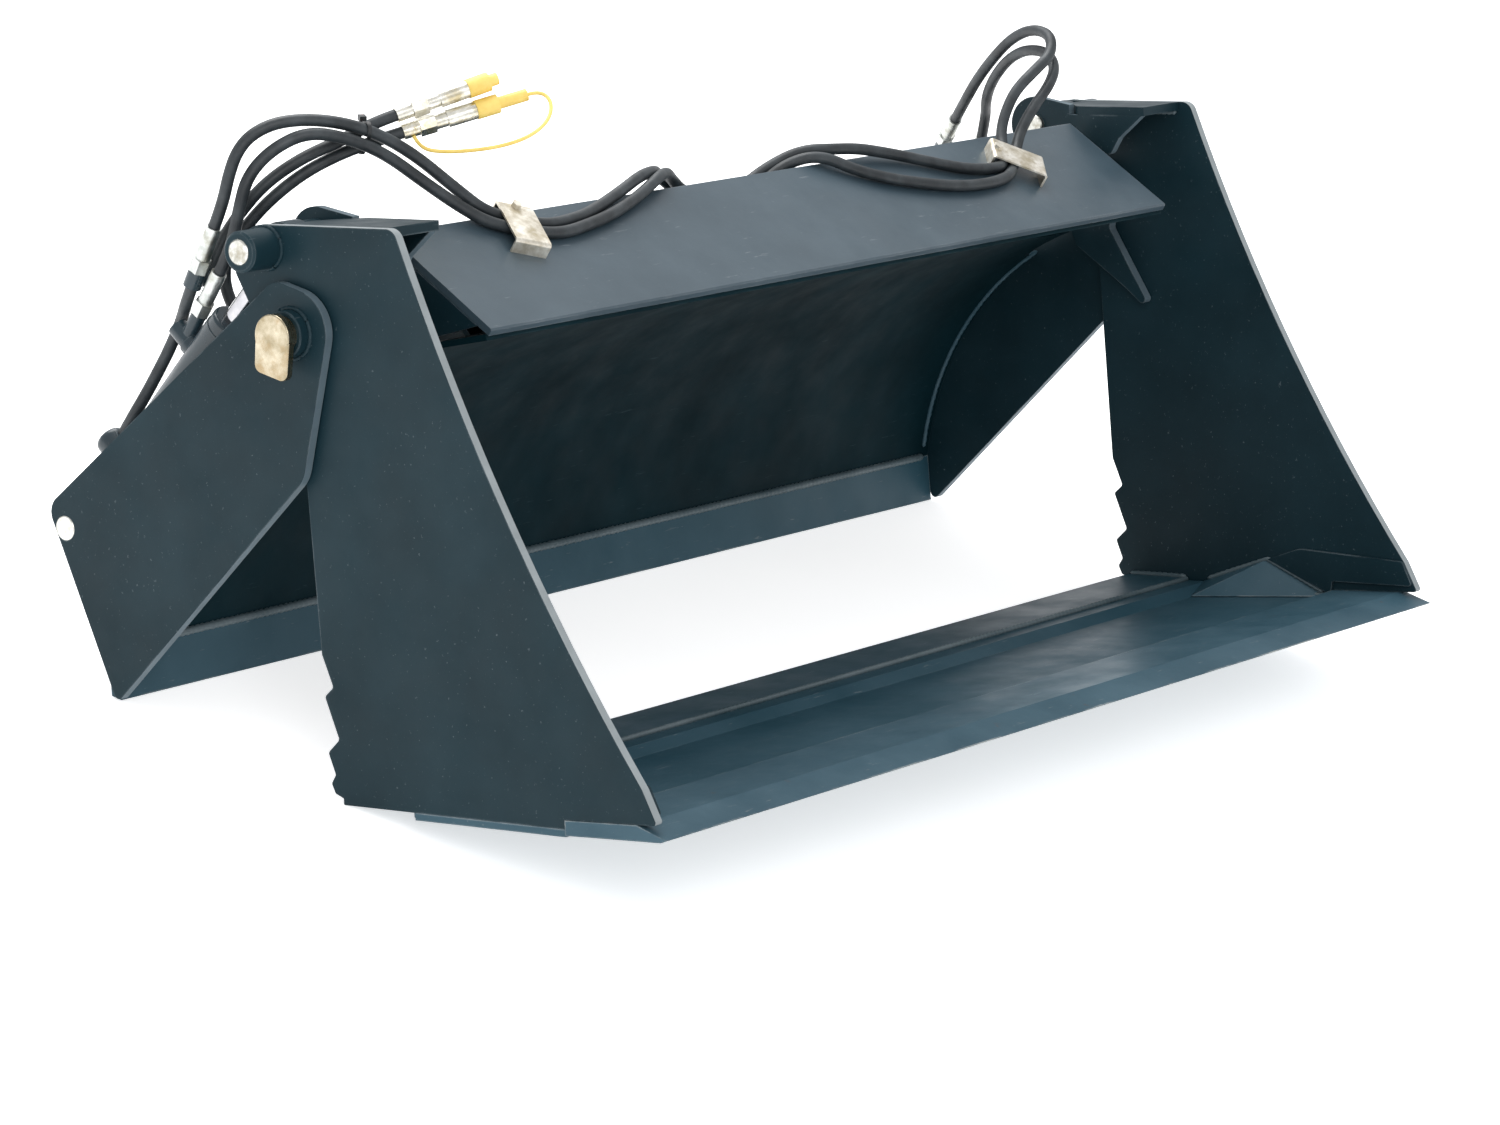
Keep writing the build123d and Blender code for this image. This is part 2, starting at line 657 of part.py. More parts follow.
with BuildPart() as rod_pins:
    for side, sign in SIDES:
        with BuildSketch(side_plane(low_x(sign, LUG_IN - 7, ROD_BOSS_OUT + 2))):
            with Locations(ROD_PIN):
                Circle(PIN_R)
        extrude(amount=ROD_BOSS_OUT + 2 - LUG_IN + 7)
    chamfer(rod_pins.edges().filter_by(GeomType.CIRCLE), length=1.5)
rod_pins.part.label = "rod_pins"
export_step(rod_pins.part, "parts/rod_pins.step")

with BuildPart() as rod_pin_spacers:
    for side, sign in SIDES:
        for inner, outer in ((LUG_OUT, EYE_IN - PLAY), (EYE_OUT + PLAY, CLAM_PLATE_IN)):
            with BuildSketch(side_plane(low_x(sign, inner, outer))):
                with Locations(ROD_PIN):
                    Circle(SPACER_R)
                    Circle(PIN_R + RUNNING, mode=Mode.SUBTRACT)
            extrude(amount=outer - inner)
rod_pin_spacers.part.label = "rod_pin_spacers"
export_step(rod_pin_spacers.part, "parts/rod_pin_spacers.step")

# Three-cornered gussets between the side plates and the floor, and thin doublers in front of them
GUSSET_PEAK = (-222.0, 117.0)
GUSSET_REACH = 72.0
GUSSET_FOOT = over(-150, 1)
GUSSET_FRONT = over(-334, 1)
with BuildPart() as corner_gussets:
    for side, sign in SIDES:
        with BuildSketch(side_plane(sign * CLAM_PLATE_IN)):
            with BuildLine():
                Polyline(over(-128, 12), GUSSET_FRONT, GUSSET_PEAK, close=True)
            make_face()
        with BuildSketch(side_plane(sign * (CLAM_PLATE_IN - GUSSET_REACH))):
            with BuildLine():
                foot_y, foot_z = GUSSET_FOOT
                Polyline((foot_y + 1, foot_z), (foot_y - 1, foot_z + 0.4), (foot_y, foot_z + 1.5), close=True)
            make_face()
        loft(ruled=True)
corner_gussets.part.label = "corner_gussets"
export_step(corner_gussets.part, "parts/corner_gussets.step")

DOUBLER_T = 5.0
with BuildPart() as side_doublers:
    for side, sign in SIDES:
        with BuildSketch(side_plane(low_x(sign, CLAM_PLATE_IN - DOUBLER_T, CLAM_PLATE_IN))):
            with BuildLine():
                FilletPolyline(
                    (GUSSET_PEAK[0] - 2, GUSSET_PEAK[1] + 1),
                    (-271, 151),
                    (-441, 190),
                    (-466, 160),
                    over(EDGE_STEP_Y - 2, 25),
                    (GUSSET_FRONT[0] - 6, GUSSET_FRONT[1] + 5),
                    radius=[0, 40, 8, 4, 0, 0],
                    close=True,
                )
            make_face()
        extrude(amount=DOUBLER_T)
side_doublers.part.label = "side_doublers"
export_step(side_doublers.part, "parts/side_doublers.step")

# ---------------------------------------------------------------- hose routes

# Every route's points are (x, y, z), with y from the heel corner
LEFT_A = [
    (-858, 388, 633), (-858, 379.5, 667), (-857, 378, 703), (-853, 374, 736), (-838, 366, 761),
    (-806, 350, 779), (-762, 318, 786), (-712, 285, 778), (-664, 250, 754), (-618, 206, 714),
    (-576, 179, 683.3), (-541, 163, 677.5),
]
LEFT_B = [
    (-858, 368, 579), (-858, 354, 618), (-857, 353, 665), (-850, 354, 709), (-823, 344, 745),
    (-788, 320, 772), (-744, 291, 768), (-700, 263, 752), (-655, 227, 719), (-619, 190, 693),
    (-590, 161, 677.2), (-555, 147, 672),
]
MIDDLE_A = [
    (-541, 163, 677.5), (-506, 147, 671.7), (-462, 147, 671.7), (-410, 152, 674), (-352, 167, 681),
    (-300, 181, 688.5), (-255, 191, 699), (-213, 204, 697), (-170, 229, 685), (-125, 245, 660),
    (-70, 247, 637), (-10, 246, 629), (45, 243, 633), (90, 234, 664), (131, 213, 690),
    (175, 191, 694), (225, 184, 692), (272, 174, 685), (315, 161, 678), (355, 143, 671),
    (400, 125, 664), (438, 116, 661), (466, 114, 660), (494, 114, 661), (515, 131, 666),
]
MIDDLE_B = [
    (-555, 147, 672), (-520, 133, 666.8), (-477, 128, 665), (-425, 134, 668), (-370, 144, 671),
    (-315, 158, 677), (-262, 173, 686), (-219, 185, 698), (-179, 204, 692), (-141, 224, 674),
    (-102, 229, 650), (-48, 227, 633), (8, 226, 628), (60, 223, 641), (101, 209, 677),
    (140, 184, 691), (184, 151, 674), (234, 126, 664.5), (285, 108, 658.5), (340, 95, 653),
    (395, 88, 650.5), (447, 88, 651), (493, 96, 654), (527, 119, 662),
]
RIGHT_A = [
    (515, 131, 666), (536, 148, 671.5), (552, 167, 690), (568, 176, 716), (590, 180, 746),
    (622, 173, 776), (657, 175, 795), (682, 198, 815), (701, 243, 810), (718, 286, 782),
    (741, 326, 738), (766, 362, 693), (790, 391, 650), (816, 419, 610),
]
RIGHT_B = [
    (527, 119, 662), (552, 136, 668), (577, 151, 694), (606, 154, 728), (637, 156, 754),
    (666, 169, 775), (689, 201, 787), (704, 246, 778), (724, 286, 752), (749, 320, 715),
    (778, 347, 679), (811, 368, 649), (841, 383, 622), (858, 394, 584),
]
LEFT_BASE = [
    (-858, 409.2, 548.1), (-857.5, 415.5, 522.9), (-837, 436, 492), (-834, 450, 451),
    (-840, 461, 411), (-849, 468, 379), (-855, 477, 351), (-856, 488, 323),
]
RIGHT_BASE = [(858, 462, 534), (858, 474, 490), (858, 481, 445), (857, 486, 403), (856, 488.5, 366), (856, 487.5, 329)]
EXTEND = [
    (-834, 403.5, 571), (-834, 394, 609), (-828, 374, 655), (-809, 357, 696), (-774, 333, 733),
    (-724, 314, 757), (-690, 300, 779), (-663, 286, 792),
]
RETRACT = [
    (-808, 357, 504), (-808, 385, 527), (-810, 402, 559), (-812, 397, 597), (-812, 376, 632),
    (-800, 355, 672), (-770, 331, 713), (-725, 315, 738), (-684, 294, 758), (-655, 277, 771),
]
LANYARD = [
    (-518.0, 196.7, 832.35), (-505, 189, 838), (-501, 172, 833), (-511, 158, 820), (-530, 152, 805),
    (-555, 158, 789), (-581, 177, 775), (-607, 201, 765), (-632, 226, 758), (-650, 248, 758),
    (-647.5, 263.0, 769.0),
]

# ---------------------------------------------------------------- cylinders

EYE_R_BORE = PIN_R + RUNNING
CAP_T = 6.0
SPIGOT = 10.0
ROD_STEM = 40.0
ROD_STEM_R = 16.5
BASE_PORT_Z = 103.0
GLAND_PORT_Z = 301.0
BLOCK_Z = 345.0
for side, sign in SIDES:
    base_route = LEFT_BASE if sign < 0 else RIGHT_BASE
    base_end = list(reversed(base_route))

    with BuildPart() as barrel:
        with BuildSketch(cylinder_plane(sign, BARREL_FOOT)):
            Circle(BARREL_R)
        extrude(amount=BARREL_TOP - BARREL_FOOT)
        bar(
            beside_cylinder(sign * CYLINDER_X, BASE_PORT_Z, 10),
            beside_cylinder(sign * CYLINDER_X, BASE_PORT_Z, 58),
            20,
        )
        top = beside_cylinder(sign * CYLINDER_X, BASE_PORT_Z, 58)
        top_rim = barrel.edges().filter_by(GeomType.CIRCLE).sort_by_distance(from_heel([top])[0])[0]
        fillet(top_rim, radius=9)
        bar(
            beside_cylinder(sign * CYLINDER_X, GLAND_PORT_Z, 10),
            beside_cylinder(sign * CYLINDER_X, GLAND_PORT_Z, 36),
            15,
        )
        bar(beyond(base_end, 20), base_end[0], 11)
        if sign < 0:
            bar(beside_cylinder(-CYLINDER_X + 20, BLOCK_Z - 9, 0), beside_cylinder(-793, BLOCK_Z - 9, 0), 13)
            bar(beyond(RETRACT, 14), RETRACT[0], 11)
        with BuildSketch(cylinder_plane(sign, BARREL_FOOT)):
            Circle(BORE_R)
        extrude(amount=BARREL_TOP - BARREL_FOOT, mode=Mode.SUBTRACT)
    barrel.part.label = f"{side}_barrel"
    export_step(barrel.part, f"parts/{side}_barrel.step")

    with BuildPart() as base_eye:
        with BuildSketch(side_plane(low_x(sign, EYE_IN, EYE_OUT))):
            with Locations(BASE_PIN):
                Circle(EYE_R)
        extrude(amount=EYE_W)
        with BuildSketch(cylinder_plane(sign)):
            Rectangle(EYE_W, 2 * EYE_R - 6)
        extrude(amount=BARREL_FOOT - CAP_T)
        with BuildSketch(cylinder_plane(sign, BARREL_FOOT - CAP_T)):
            Circle(BARREL_R)
        extrude(amount=CAP_T)
        with BuildSketch(cylinder_plane(sign, BARREL_FOOT)):
            Circle(BORE_R - 0.05)
        extrude(amount=SPIGOT)
        with BuildSketch(side_plane(low_x(sign, EYE_IN, EYE_OUT))):
            with Locations(BASE_PIN):
                Circle(EYE_R_BORE)
        extrude(amount=EYE_W, mode=Mode.SUBTRACT)
    base_eye.part.label = f"{side}_base_eye"
    export_step(base_eye.part, f"parts/{side}_base_eye.step")

    with BuildPart() as gland:
        with BuildSketch(cylinder_plane(sign, BARREL_TOP - SPIGOT)):
            Circle(BORE_R - 0.05)
        extrude(amount=SPIGOT)
        with BuildSketch(cylinder_plane(sign, BARREL_TOP)):
            Circle(BARREL_R - 1)
        extrude(amount=GLAND_TOP - BARREL_TOP)
        top = cylinder_plane(sign, GLAND_TOP).origin
        rim = gland.edges().filter_by(GeomType.CIRCLE).sort_by_distance(top)[0]
        fillet(rim, radius=5)
        with BuildSketch(cylinder_plane(sign, BARREL_TOP - SPIGOT)):
            Circle(PIN_R + RUNNING)
        extrude(amount=GLAND_TOP - BARREL_TOP + SPIGOT, mode=Mode.SUBTRACT)
    gland.part.label = f"{side}_gland"
    export_step(gland.part, f"parts/{side}_gland.step")

    with BuildPart() as piston:
        with BuildSketch(cylinder_plane(sign, PISTON_Z - 15)):
            Circle(BORE_R - RUNNING)
        extrude(amount=30)
    piston.part.label = f"{side}_piston"
    export_step(piston.part, f"parts/{side}_piston.step")

    with BuildPart() as rod:
        with BuildSketch(cylinder_plane(sign, PISTON_Z + 15)):
            Circle(PIN_R)
        extrude(amount=CYLINDER_L - ROD_STEM - PISTON_Z - 15)
    rod.part.label = f"{side}_rod"
    export_step(rod.part, f"parts/{side}_rod.step")

    with BuildPart() as rod_eye:
        with BuildSketch(side_plane(low_x(sign, EYE_IN, EYE_OUT))):
            with Locations(ROD_PIN):
                Circle(EYE_R)
        extrude(amount=EYE_W)
        with BuildSketch(cylinder_plane(sign, CYLINDER_L - ROD_STEM)):
            Circle(ROD_STEM_R)
        extrude(amount=ROD_STEM)
        with BuildSketch(side_plane(low_x(sign, EYE_IN, EYE_OUT))):
            with Locations(ROD_PIN):
                Circle(OPEN_BORE_R)
        extrude(amount=EYE_W, mode=Mode.SUBTRACT)
    rod_eye.part.label = f"{side}_rod_eye"
    export_step(rod_eye.part, f"parts/{side}_rod_eye.step")

# ---------------------------------------------------------------- hose fittings

FERRULE_END = FERRULE_L
NUT_END = FERRULE_L + NUT_L
ARM_R = 10.0
RIGHT_END_A = list(reversed(RIGHT_A))
RIGHT_END_B = list(reversed(RIGHT_B))

port_top = beside_cylinder(-CYLINDER_X, GLAND_PORT_Z, 36)
with BuildPart() as left_hose_tees:
    bar(port_top, beside_cylinder(-CYLINDER_X, GLAND_PORT_Z, 64), 13)
    bar(beyond(LEFT_B, NUT_END + 40), beyond(LEFT_B, NUT_END), ARM_R)
    bar(beside_cylinder(-CYLINDER_X, GLAND_PORT_Z, 0), port_top, 15, mode=Mode.SUBTRACT)
    with BuildSketch(cylinder_plane(-1, BARREL_FOOT)):
        Circle(BARREL_R)
    extrude(amount=BARREL_TOP - BARREL_FOOT, mode=Mode.SUBTRACT)
    bar(LEFT_BASE[0], beyond(LEFT_A, NUT_END), 12)
    tee_x, tee_y, tee_z = beyond(EXTEND, 14.5)
    bar((-CYLINDER_X, tee_y, tee_z), (tee_x, tee_y, tee_z), ARM_R)
    with Locations(from_heel([(tee_x, tee_y, tee_z)])[0]):
        Sphere(ARM_R)
    bar((tee_x, tee_y, tee_z), EXTEND[0], ARM_R)
left_hose_tees.part.label = "left_hose_tees"
export_step(left_hose_tees.part, "parts/left_hose_tees.step")

with BuildPart() as left_hose_ferrules:
    for route in (LEFT_A, LEFT_B):
        hexagon(beyond(route, NUT_END), beyond(route, FERRULE_END), NUT_AF)
        bar(beyond(route, FERRULE_END), route[0], FERRULE_R)
left_hose_ferrules.part.label = "left_hose_ferrules"
export_step(left_hose_ferrules.part, "parts/left_hose_ferrules.step")

# The right gland hose leaves its fitting on a slant, so its ferrule is bent near the end
GLAND_HOSE_OFF = 83.0
KNEE = beyond(RIGHT_END_B, 12)
with BuildPart() as right_hose_tees:
    bar(beside_cylinder(CYLINDER_X, GLAND_PORT_Z, 36), beside_cylinder(CYLINDER_X, GLAND_PORT_Z, 96), 13)
    bar(
        beside_cylinder(CYLINDER_X, GLAND_PORT_Z, GLAND_HOSE_OFF),
        beside_cylinder(CYLINDER_X, 332, GLAND_HOSE_OFF),
        ARM_R,
    )
    tee_end = beyond(RIGHT_END_A, NUT_END)
    tee_elbow = beyond(RIGHT_END_A, NUT_END + 14)
    tee_back = beyond(RIGHT_BASE, 22)
    bar(RIGHT_BASE[0], tee_back, 12)
    with Locations(from_heel([tee_back])[0]):
        Sphere(12)
    bar(tee_back, tee_elbow, ARM_R)
    with Locations(from_heel([tee_elbow])[0]):
        Sphere(ARM_R)
    bar(tee_elbow, tee_end, ARM_R)
right_hose_tees.part.label = "right_hose_tees"
export_step(right_hose_tees.part, "parts/right_hose_tees.step")

with BuildPart() as right_hose_ferrules:
    hexagon(tee_end, beyond(RIGHT_END_A, FERRULE_END), NUT_AF)
    bar(beyond(RIGHT_END_A, FERRULE_END), RIGHT_END_A[0], FERRULE_R)
    nut_foot = beside_cylinder(CYLINDER_X, 332, GLAND_HOSE_OFF)
    nut_head = beside_cylinder(CYLINDER_X, 332 + NUT_L, GLAND_HOSE_OFF)
    hexagon(nut_foot, nut_head, NUT_AF)
    bar(nut_head, KNEE, FERRULE_R)
    with Locations(from_heel([KNEE])[0]):
        Sphere(FERRULE_R)
    bar(KNEE, RIGHT_END_B[0], FERRULE_R)
right_hose_ferrules.part.label = "right_hose_ferrules"
export_step(right_hose_ferrules.part, "parts/right_hose_ferrules.step")

for side, route in (("left", LEFT_BASE), ("right", RIGHT_BASE)):
    with BuildPart() as base_hose:
        hose(f"{side}_base_hose", route, HOSE_R)
    base_hose.part.label = f"{side}_base_hose"
    export_step(base_hose.part, f"parts/{side}_base_hose.step")

# ---------------------------------------------------------------- crossover and supply hoses

with BuildPart() as left_crossover_hoses:
    hose("left_crossover_hose_a", LEFT_A, HOSE_R)
    hose("left_crossover_hose_b", LEFT_B, HOSE_R)
left_crossover_hoses.part.label = "left_crossover_hoses"
export_step(left_crossover_hoses.part, "parts/left_crossover_hoses.step")

with BuildPart() as crossover_hoses_middle:
    hose("middle_crossover_hose_a", MIDDLE_A, HOSE_R)
    hose("middle_crossover_hose_b", MIDDLE_B, HOSE_R)
crossover_hoses_middle.part.label = "crossover_hoses_middle"
export_step(crossover_hoses_middle.part, "parts/crossover_hoses_middle.step")

with BuildPart() as right_crossover_hoses:
    hose("right_crossover_hose_a", RIGHT_A, HOSE_R)
    hose("right_crossover_hose_b", RIGHT_B, HOSE_R)
right_crossover_hoses.part.label = "right_crossover_hoses"
export_step(right_crossover_hoses.part, "parts/right_crossover_hoses.step")

with BuildPart() as supply_hose_extend:
    hose("supply_hose_extend", EXTEND, HOSE_R)
supply_hose_extend.part.label = "supply_hose_extend"
export_step(supply_hose_extend.part, "parts/supply_hose_extend.step")

with BuildPart() as supply_hose_retract:
    hose("supply_hose_retract", RETRACT, HOSE_R)
supply_hose_retract.part.label = "supply_hose_retract"
export_step(supply_hose_retract.part, "parts/supply_hose_retract.step")

# Quick couplers on the supply hoses' free ends, their dust caps and the caps' lanyard
COUPLER_HEX = 22.0
COUPLER_LENGTH = 100.0
CAP_LENGTH = 42.0
SECOND_CAP_LENGTH = 70.0
EXTEND_END = list(reversed(EXTEND))
RETRACT_END = list(reversed(RETRACT))
with BuildPart() as couplers:
    for route in (EXTEND_END, RETRACT_END):
        bar(route[0], beyond(route, 22), 10)
        hexagon(beyond(route, 22), beyond(route, 44), COUPLER_HEX)
        bar(beyond(route, 44), beyond(route, 60), 9.5)
        bar(beyond(route, 60), beyond(route, COUPLER_LENGTH), 11.5)
couplers.part.label = "couplers"
export_step(couplers.part, "parts/couplers.step")

with BuildPart() as dust_caps:
    for route, length in ((EXTEND_END, CAP_LENGTH), (RETRACT_END, SECOND_CAP_LENGTH)):
        bar(beyond(route, COUPLER_LENGTH), beyond(route, COUPLER_LENGTH + 30), 12.5)
        bar(beyond(route, COUPLER_LENGTH + 30), beyond(route, COUPLER_LENGTH + length), 8)
dust_caps.part.label = "dust_caps"
export_step(dust_caps.part, "parts/dust_caps.step")

with BuildPart() as cap_lanyard:
    hose("cap_lanyard", LANYARD, 2.5)
cap_lanyard.part.label = "cap_lanyard"
export_step(cap_lanyard.part, "parts/cap_lanyard.step")

# ---------------------------------------------------------------- hose clamps on the deflector

DEFLECTOR_RISE = (DEFLECTOR_REAR[1] - DEFLECTOR_FRONT[1]) / (DEFLECTOR_REAR[0] - DEFLECTOR_FRONT[0])
STRAP_T = 3.0
STRAP_L = 52.0
STRAP_BACK = 52.0
STRAP_FRONT = 34.0
STRAP_H = 17.8
STRAP_BOLT = 26.0
BOLT_R = 4.0
CLAMPS = (("left", (-548.0, 155.0), (0.909, -0.416)), ("right", (521.0, 125.0), (0.707, 0.707)))


def clamp_plane(centre, direction):
    """Plane on the deflector at a clamp: its x axis runs along the hoses and z stands off the deflector."""
    ux, uy = direction
    origin = Vector(centre[0], centre[1] + HEEL_Y, DEFLECTOR_FRONT[1] + DEFLECTOR_RISE * centre[1])
    return Plane(origin=origin, x_dir=(ux, uy, uy * DEFLECTOR_RISE), z_dir=(0, -DEFLECTOR_RISE, 1))


for side, centre, direction in CLAMPS:
    plate = clamp_plane(centre, direction)
    strap_end = plate.origin - plate.x_dir * STRAP_L / 2
    with BuildPart() as hose_clamp:
        with BuildSketch(Plane(origin=strap_end, x_dir=plate.y_dir, z_dir=plate.x_dir)):
            with BuildLine():
                FilletPolyline(
                    (-STRAP_BACK, 0),
                    (-STRAP_BACK, STRAP_H + STRAP_T),
                    (STRAP_FRONT, STRAP_H + STRAP_T),
                    (STRAP_FRONT, 0),
                    (STRAP_FRONT - STRAP_T, 0),
                    (STRAP_FRONT - STRAP_T, STRAP_H),
                    (-STRAP_BACK + STRAP_T, STRAP_H),
                    (-STRAP_BACK + STRAP_T, 0),
                    radius=[0, 5, 5, 0, 0, 2, 2, 0],
                    close=True,
                )
            make_face()
        extrude(amount=STRAP_L)
        with BuildSketch(plate.offset(STRAP_H - 1)):
            with Locations((0, STRAP_BOLT)):
                Circle(BOLT_R + 0.2)
        extrude(amount=STRAP_T + 2, mode=Mode.SUBTRACT)
    hose_clamp.part.label = f"{side}_hose_clamp"
    export_step(hose_clamp.part, f"parts/{side}_hose_clamp.step")

with BuildPart() as clamp_bolts:
    for side, centre, direction in CLAMPS:
        plate = clamp_plane(centre, direction)
        with BuildSketch(plate):
            with Locations((0, STRAP_BOLT)):
                Circle(BOLT_R)
        extrude(amount=STRAP_H + STRAP_T)
        with BuildSketch(plate.offset(STRAP_H + STRAP_T)):
            with Locations((0, STRAP_BOLT)):
                RegularPolygon(radius=7, side_count=6)
        extrude(amount=6)
clamp_bolts.part.label = "clamp_bolts"
export_step(clamp_bolts.part, "parts/clamp_bolts.step")

# Cable tie around three of the hoses above the left cylinder, with its head on top
TIE_AT = (-705.0, 297.0, 764.0)
TIE_ALONG = (0.83, -0.5, 0.1)
TIE_ACROSS = (0.516, 0.857, 0.0)
TIE_HOSES = [(-14.0, 13.1), (8.4, 7.5), (7.0, -14.3)]
TIE_INNER = 9.3
TIE_OUTER = 10.7
TIE_W = 5.0
tie_plane = Plane(origin=from_heel([TIE_AT])[0], x_dir=TIE_ACROSS, z_dir=TIE_ALONG)
with BuildPart() as zip_tie:
    for radius, mode in ((TIE_OUTER, Mode.ADD), (TIE_INNER, Mode.SUBTRACT)):
        with BuildSketch(tie_plane):
            with Locations(*TIE_HOSES):
                Circle(radius)
            make_hull()
        extrude(amount=TIE_W / 2, both=True, mode=mode)
    with Locations(tie_plane.location * Location((11, 21.5, 0))):
        Box(11, 7, 9)
zip_tie.part.label = "zip_tie"
export_step(zip_tie.part, "parts/zip_tie.step")
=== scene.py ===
"""Looks of a skid steer clamshell bucket: materials, hoses, weld beads, light and camera around the frame."""

import math
import random

import bpy
from mathutils import Matrix, Vector


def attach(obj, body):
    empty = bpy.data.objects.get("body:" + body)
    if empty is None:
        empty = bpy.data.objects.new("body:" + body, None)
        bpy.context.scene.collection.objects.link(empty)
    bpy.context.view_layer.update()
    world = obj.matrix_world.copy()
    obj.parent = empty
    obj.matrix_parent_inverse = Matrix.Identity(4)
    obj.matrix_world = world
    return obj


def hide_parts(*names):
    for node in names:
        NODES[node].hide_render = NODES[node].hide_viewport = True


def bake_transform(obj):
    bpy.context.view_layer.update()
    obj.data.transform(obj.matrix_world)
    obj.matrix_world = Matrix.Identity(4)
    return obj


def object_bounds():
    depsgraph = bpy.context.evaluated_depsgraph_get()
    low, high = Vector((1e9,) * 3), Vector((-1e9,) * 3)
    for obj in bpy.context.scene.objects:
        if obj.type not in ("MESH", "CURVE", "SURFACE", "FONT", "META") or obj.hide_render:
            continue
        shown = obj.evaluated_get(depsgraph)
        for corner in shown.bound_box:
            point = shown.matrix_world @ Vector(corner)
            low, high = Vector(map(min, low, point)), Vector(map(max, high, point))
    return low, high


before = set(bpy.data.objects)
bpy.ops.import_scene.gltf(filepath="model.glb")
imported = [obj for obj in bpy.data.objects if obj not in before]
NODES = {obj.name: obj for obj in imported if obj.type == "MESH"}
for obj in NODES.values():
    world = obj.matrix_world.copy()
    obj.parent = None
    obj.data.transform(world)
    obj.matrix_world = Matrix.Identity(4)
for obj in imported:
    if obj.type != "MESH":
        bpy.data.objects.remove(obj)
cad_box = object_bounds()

HEEL_Y = -0.024  # the heel corner's y; every route and weld below is given with y from the heel
random.seed(7)

# ---------------------------------------------------------------- node helpers


def new_material(name):
    """An empty node material with a Principled shader, and the shader itself."""
    material = bpy.data.materials.new(name)
    material.use_nodes = True
    tree = material.node_tree
    tree.nodes.clear()
    shader = tree.nodes.new("ShaderNodeBsdfPrincipled")
    output = tree.nodes.new("ShaderNodeOutputMaterial")
    tree.links.new(shader.outputs["BSDF"], output.inputs["Surface"])
    return material, tree, shader


def place(tree, stretch=(1, 1, 1)):
    """Object coordinates, stretched."""
    coordinates = tree.nodes.new("ShaderNodeTexCoord")
    mapping = tree.nodes.new("ShaderNodeMapping")
    mapping.inputs["Scale"].default_value = stretch
    tree.links.new(coordinates.outputs["Object"], mapping.inputs["Vector"])
    return mapping.outputs["Vector"]


def noise(tree, scale, detail=4.0, roughness=0.55, stretch=(1, 1, 1)):
    """A noise texture's factor."""
    texture = tree.nodes.new("ShaderNodeTexNoise")
    texture.inputs["Scale"].default_value = scale
    texture.inputs["Detail"].default_value = detail
    texture.inputs["Roughness"].default_value = roughness
    tree.links.new(place(tree, stretch), texture.inputs["Vector"])
    return texture.outputs["Fac"]


def ramp(tree, factor, stops):
    """A colour ramp over a factor; stops are (position, colour)."""
    node = tree.nodes.new("ShaderNodeValToRGB")
    elements = node.color_ramp.elements
    while len(elements) < len(stops):
        elements.new(0.5)
    for element, (position, colour) in zip(elements, stops):
        element.position = position
        element.color = (*colour, 1)
    tree.links.new(factor, node.inputs["Fac"])
    return node.outputs["Color"]


def grey(tree, factor, low, high, start=0.3, end=0.7):
    """A factor spread from low to high."""
    node = tree.nodes.new("ShaderNodeMapRange")
    node.inputs["From Min"].default_value = start
    node.inputs["From Max"].default_value = end
    node.inputs["To Min"].default_value = low
    node.inputs["To Max"].default_value = high
    tree.links.new(factor, node.inputs["Value"])
    return node.outputs["Result"]


def mix(tree, factor, first, second):
    """Two colours mixed by a factor."""
    node = tree.nodes.new("ShaderNodeMix")
    node.data_type = "RGBA"
    tree.links.new(factor, node.inputs["Factor"])
    for socket, colour in ((node.inputs[6], first), (node.inputs[7], second)):
        if isinstance(colour, tuple):
            socket.default_value = (*colour, 1)
        else:
            tree.links.new(colour, socket)
    return node.outputs[2]


def bump(tree, shader, height, strength, distance, edge=0.0):
    """Bump from a height, over edges rounded by a bevel where edge is above 0."""
    node = tree.nodes.new("ShaderNodeBump")
    node.inputs["Strength"].default_value = strength
    node.inputs["Distance"].default_value = distance
    tree.links.new(height, node.inputs["Height"])
    if edge > 0:
        bevel = tree.nodes.new("ShaderNodeBevel")
        bevel.samples = 4
        bevel.inputs["Radius"].default_value = edge
        tree.links.new(bevel.outputs["Normal"], node.inputs["Normal"])
    tree.links.new(node.outputs["Normal"], shader.inputs["Normal"])


def edge_wear_and_highlight(tree, width):
    """A factor near 1 along a solid's edges, the mask for rubbed paint and a painted highlight there."""
    bevel = tree.nodes.new("ShaderNodeBevel")
    bevel.samples = 4
    bevel.inputs["Radius"].default_value = width
    geometry = tree.nodes.new("ShaderNodeNewGeometry")
    dot = tree.nodes.new("ShaderNodeVectorMath")
    dot.operation = "DOT_PRODUCT"
    tree.links.new(bevel.outputs["Normal"], dot.inputs[0])
    tree.links.new(geometry.outputs["Normal"], dot.inputs[1])
    return grey(tree, dot.outputs["Value"], 1.0, 0.0, 0.75, 0.99)


def multiply(tree, first, second):
    """Two factors multiplied."""
    node = tree.nodes.new("ShaderNodeMath")
    node.operation = "MULTIPLY"
    tree.links.new(first, node.inputs[0])
    if isinstance(second, float):
        node.inputs[1].default_value = second
    else:
        tree.links.new(second, node.inputs[1])
    return node.outputs["Value"]


# ---------------------------------------------------------------- materials


def plate_edge_highlight_mask(tree):
    """A factor near 1 on the edge faces of an upright side plate, the mask of a painted highlight colour."""
    coordinates = tree.nodes.new("ShaderNodeTexCoord")
    parts = tree.nodes.new("ShaderNodeSeparateXYZ")
    tree.links.new(coordinates.outputs["Normal"], parts.inputs["Vector"])
    size = tree.nodes.new("ShaderNodeMath")
    size.operation = "ABSOLUTE"
    tree.links.new(parts.outputs["X"], size.inputs[0])
    return grey(tree, size.outputs["Value"], 1.0, 0.0, 0.55, 0.8)


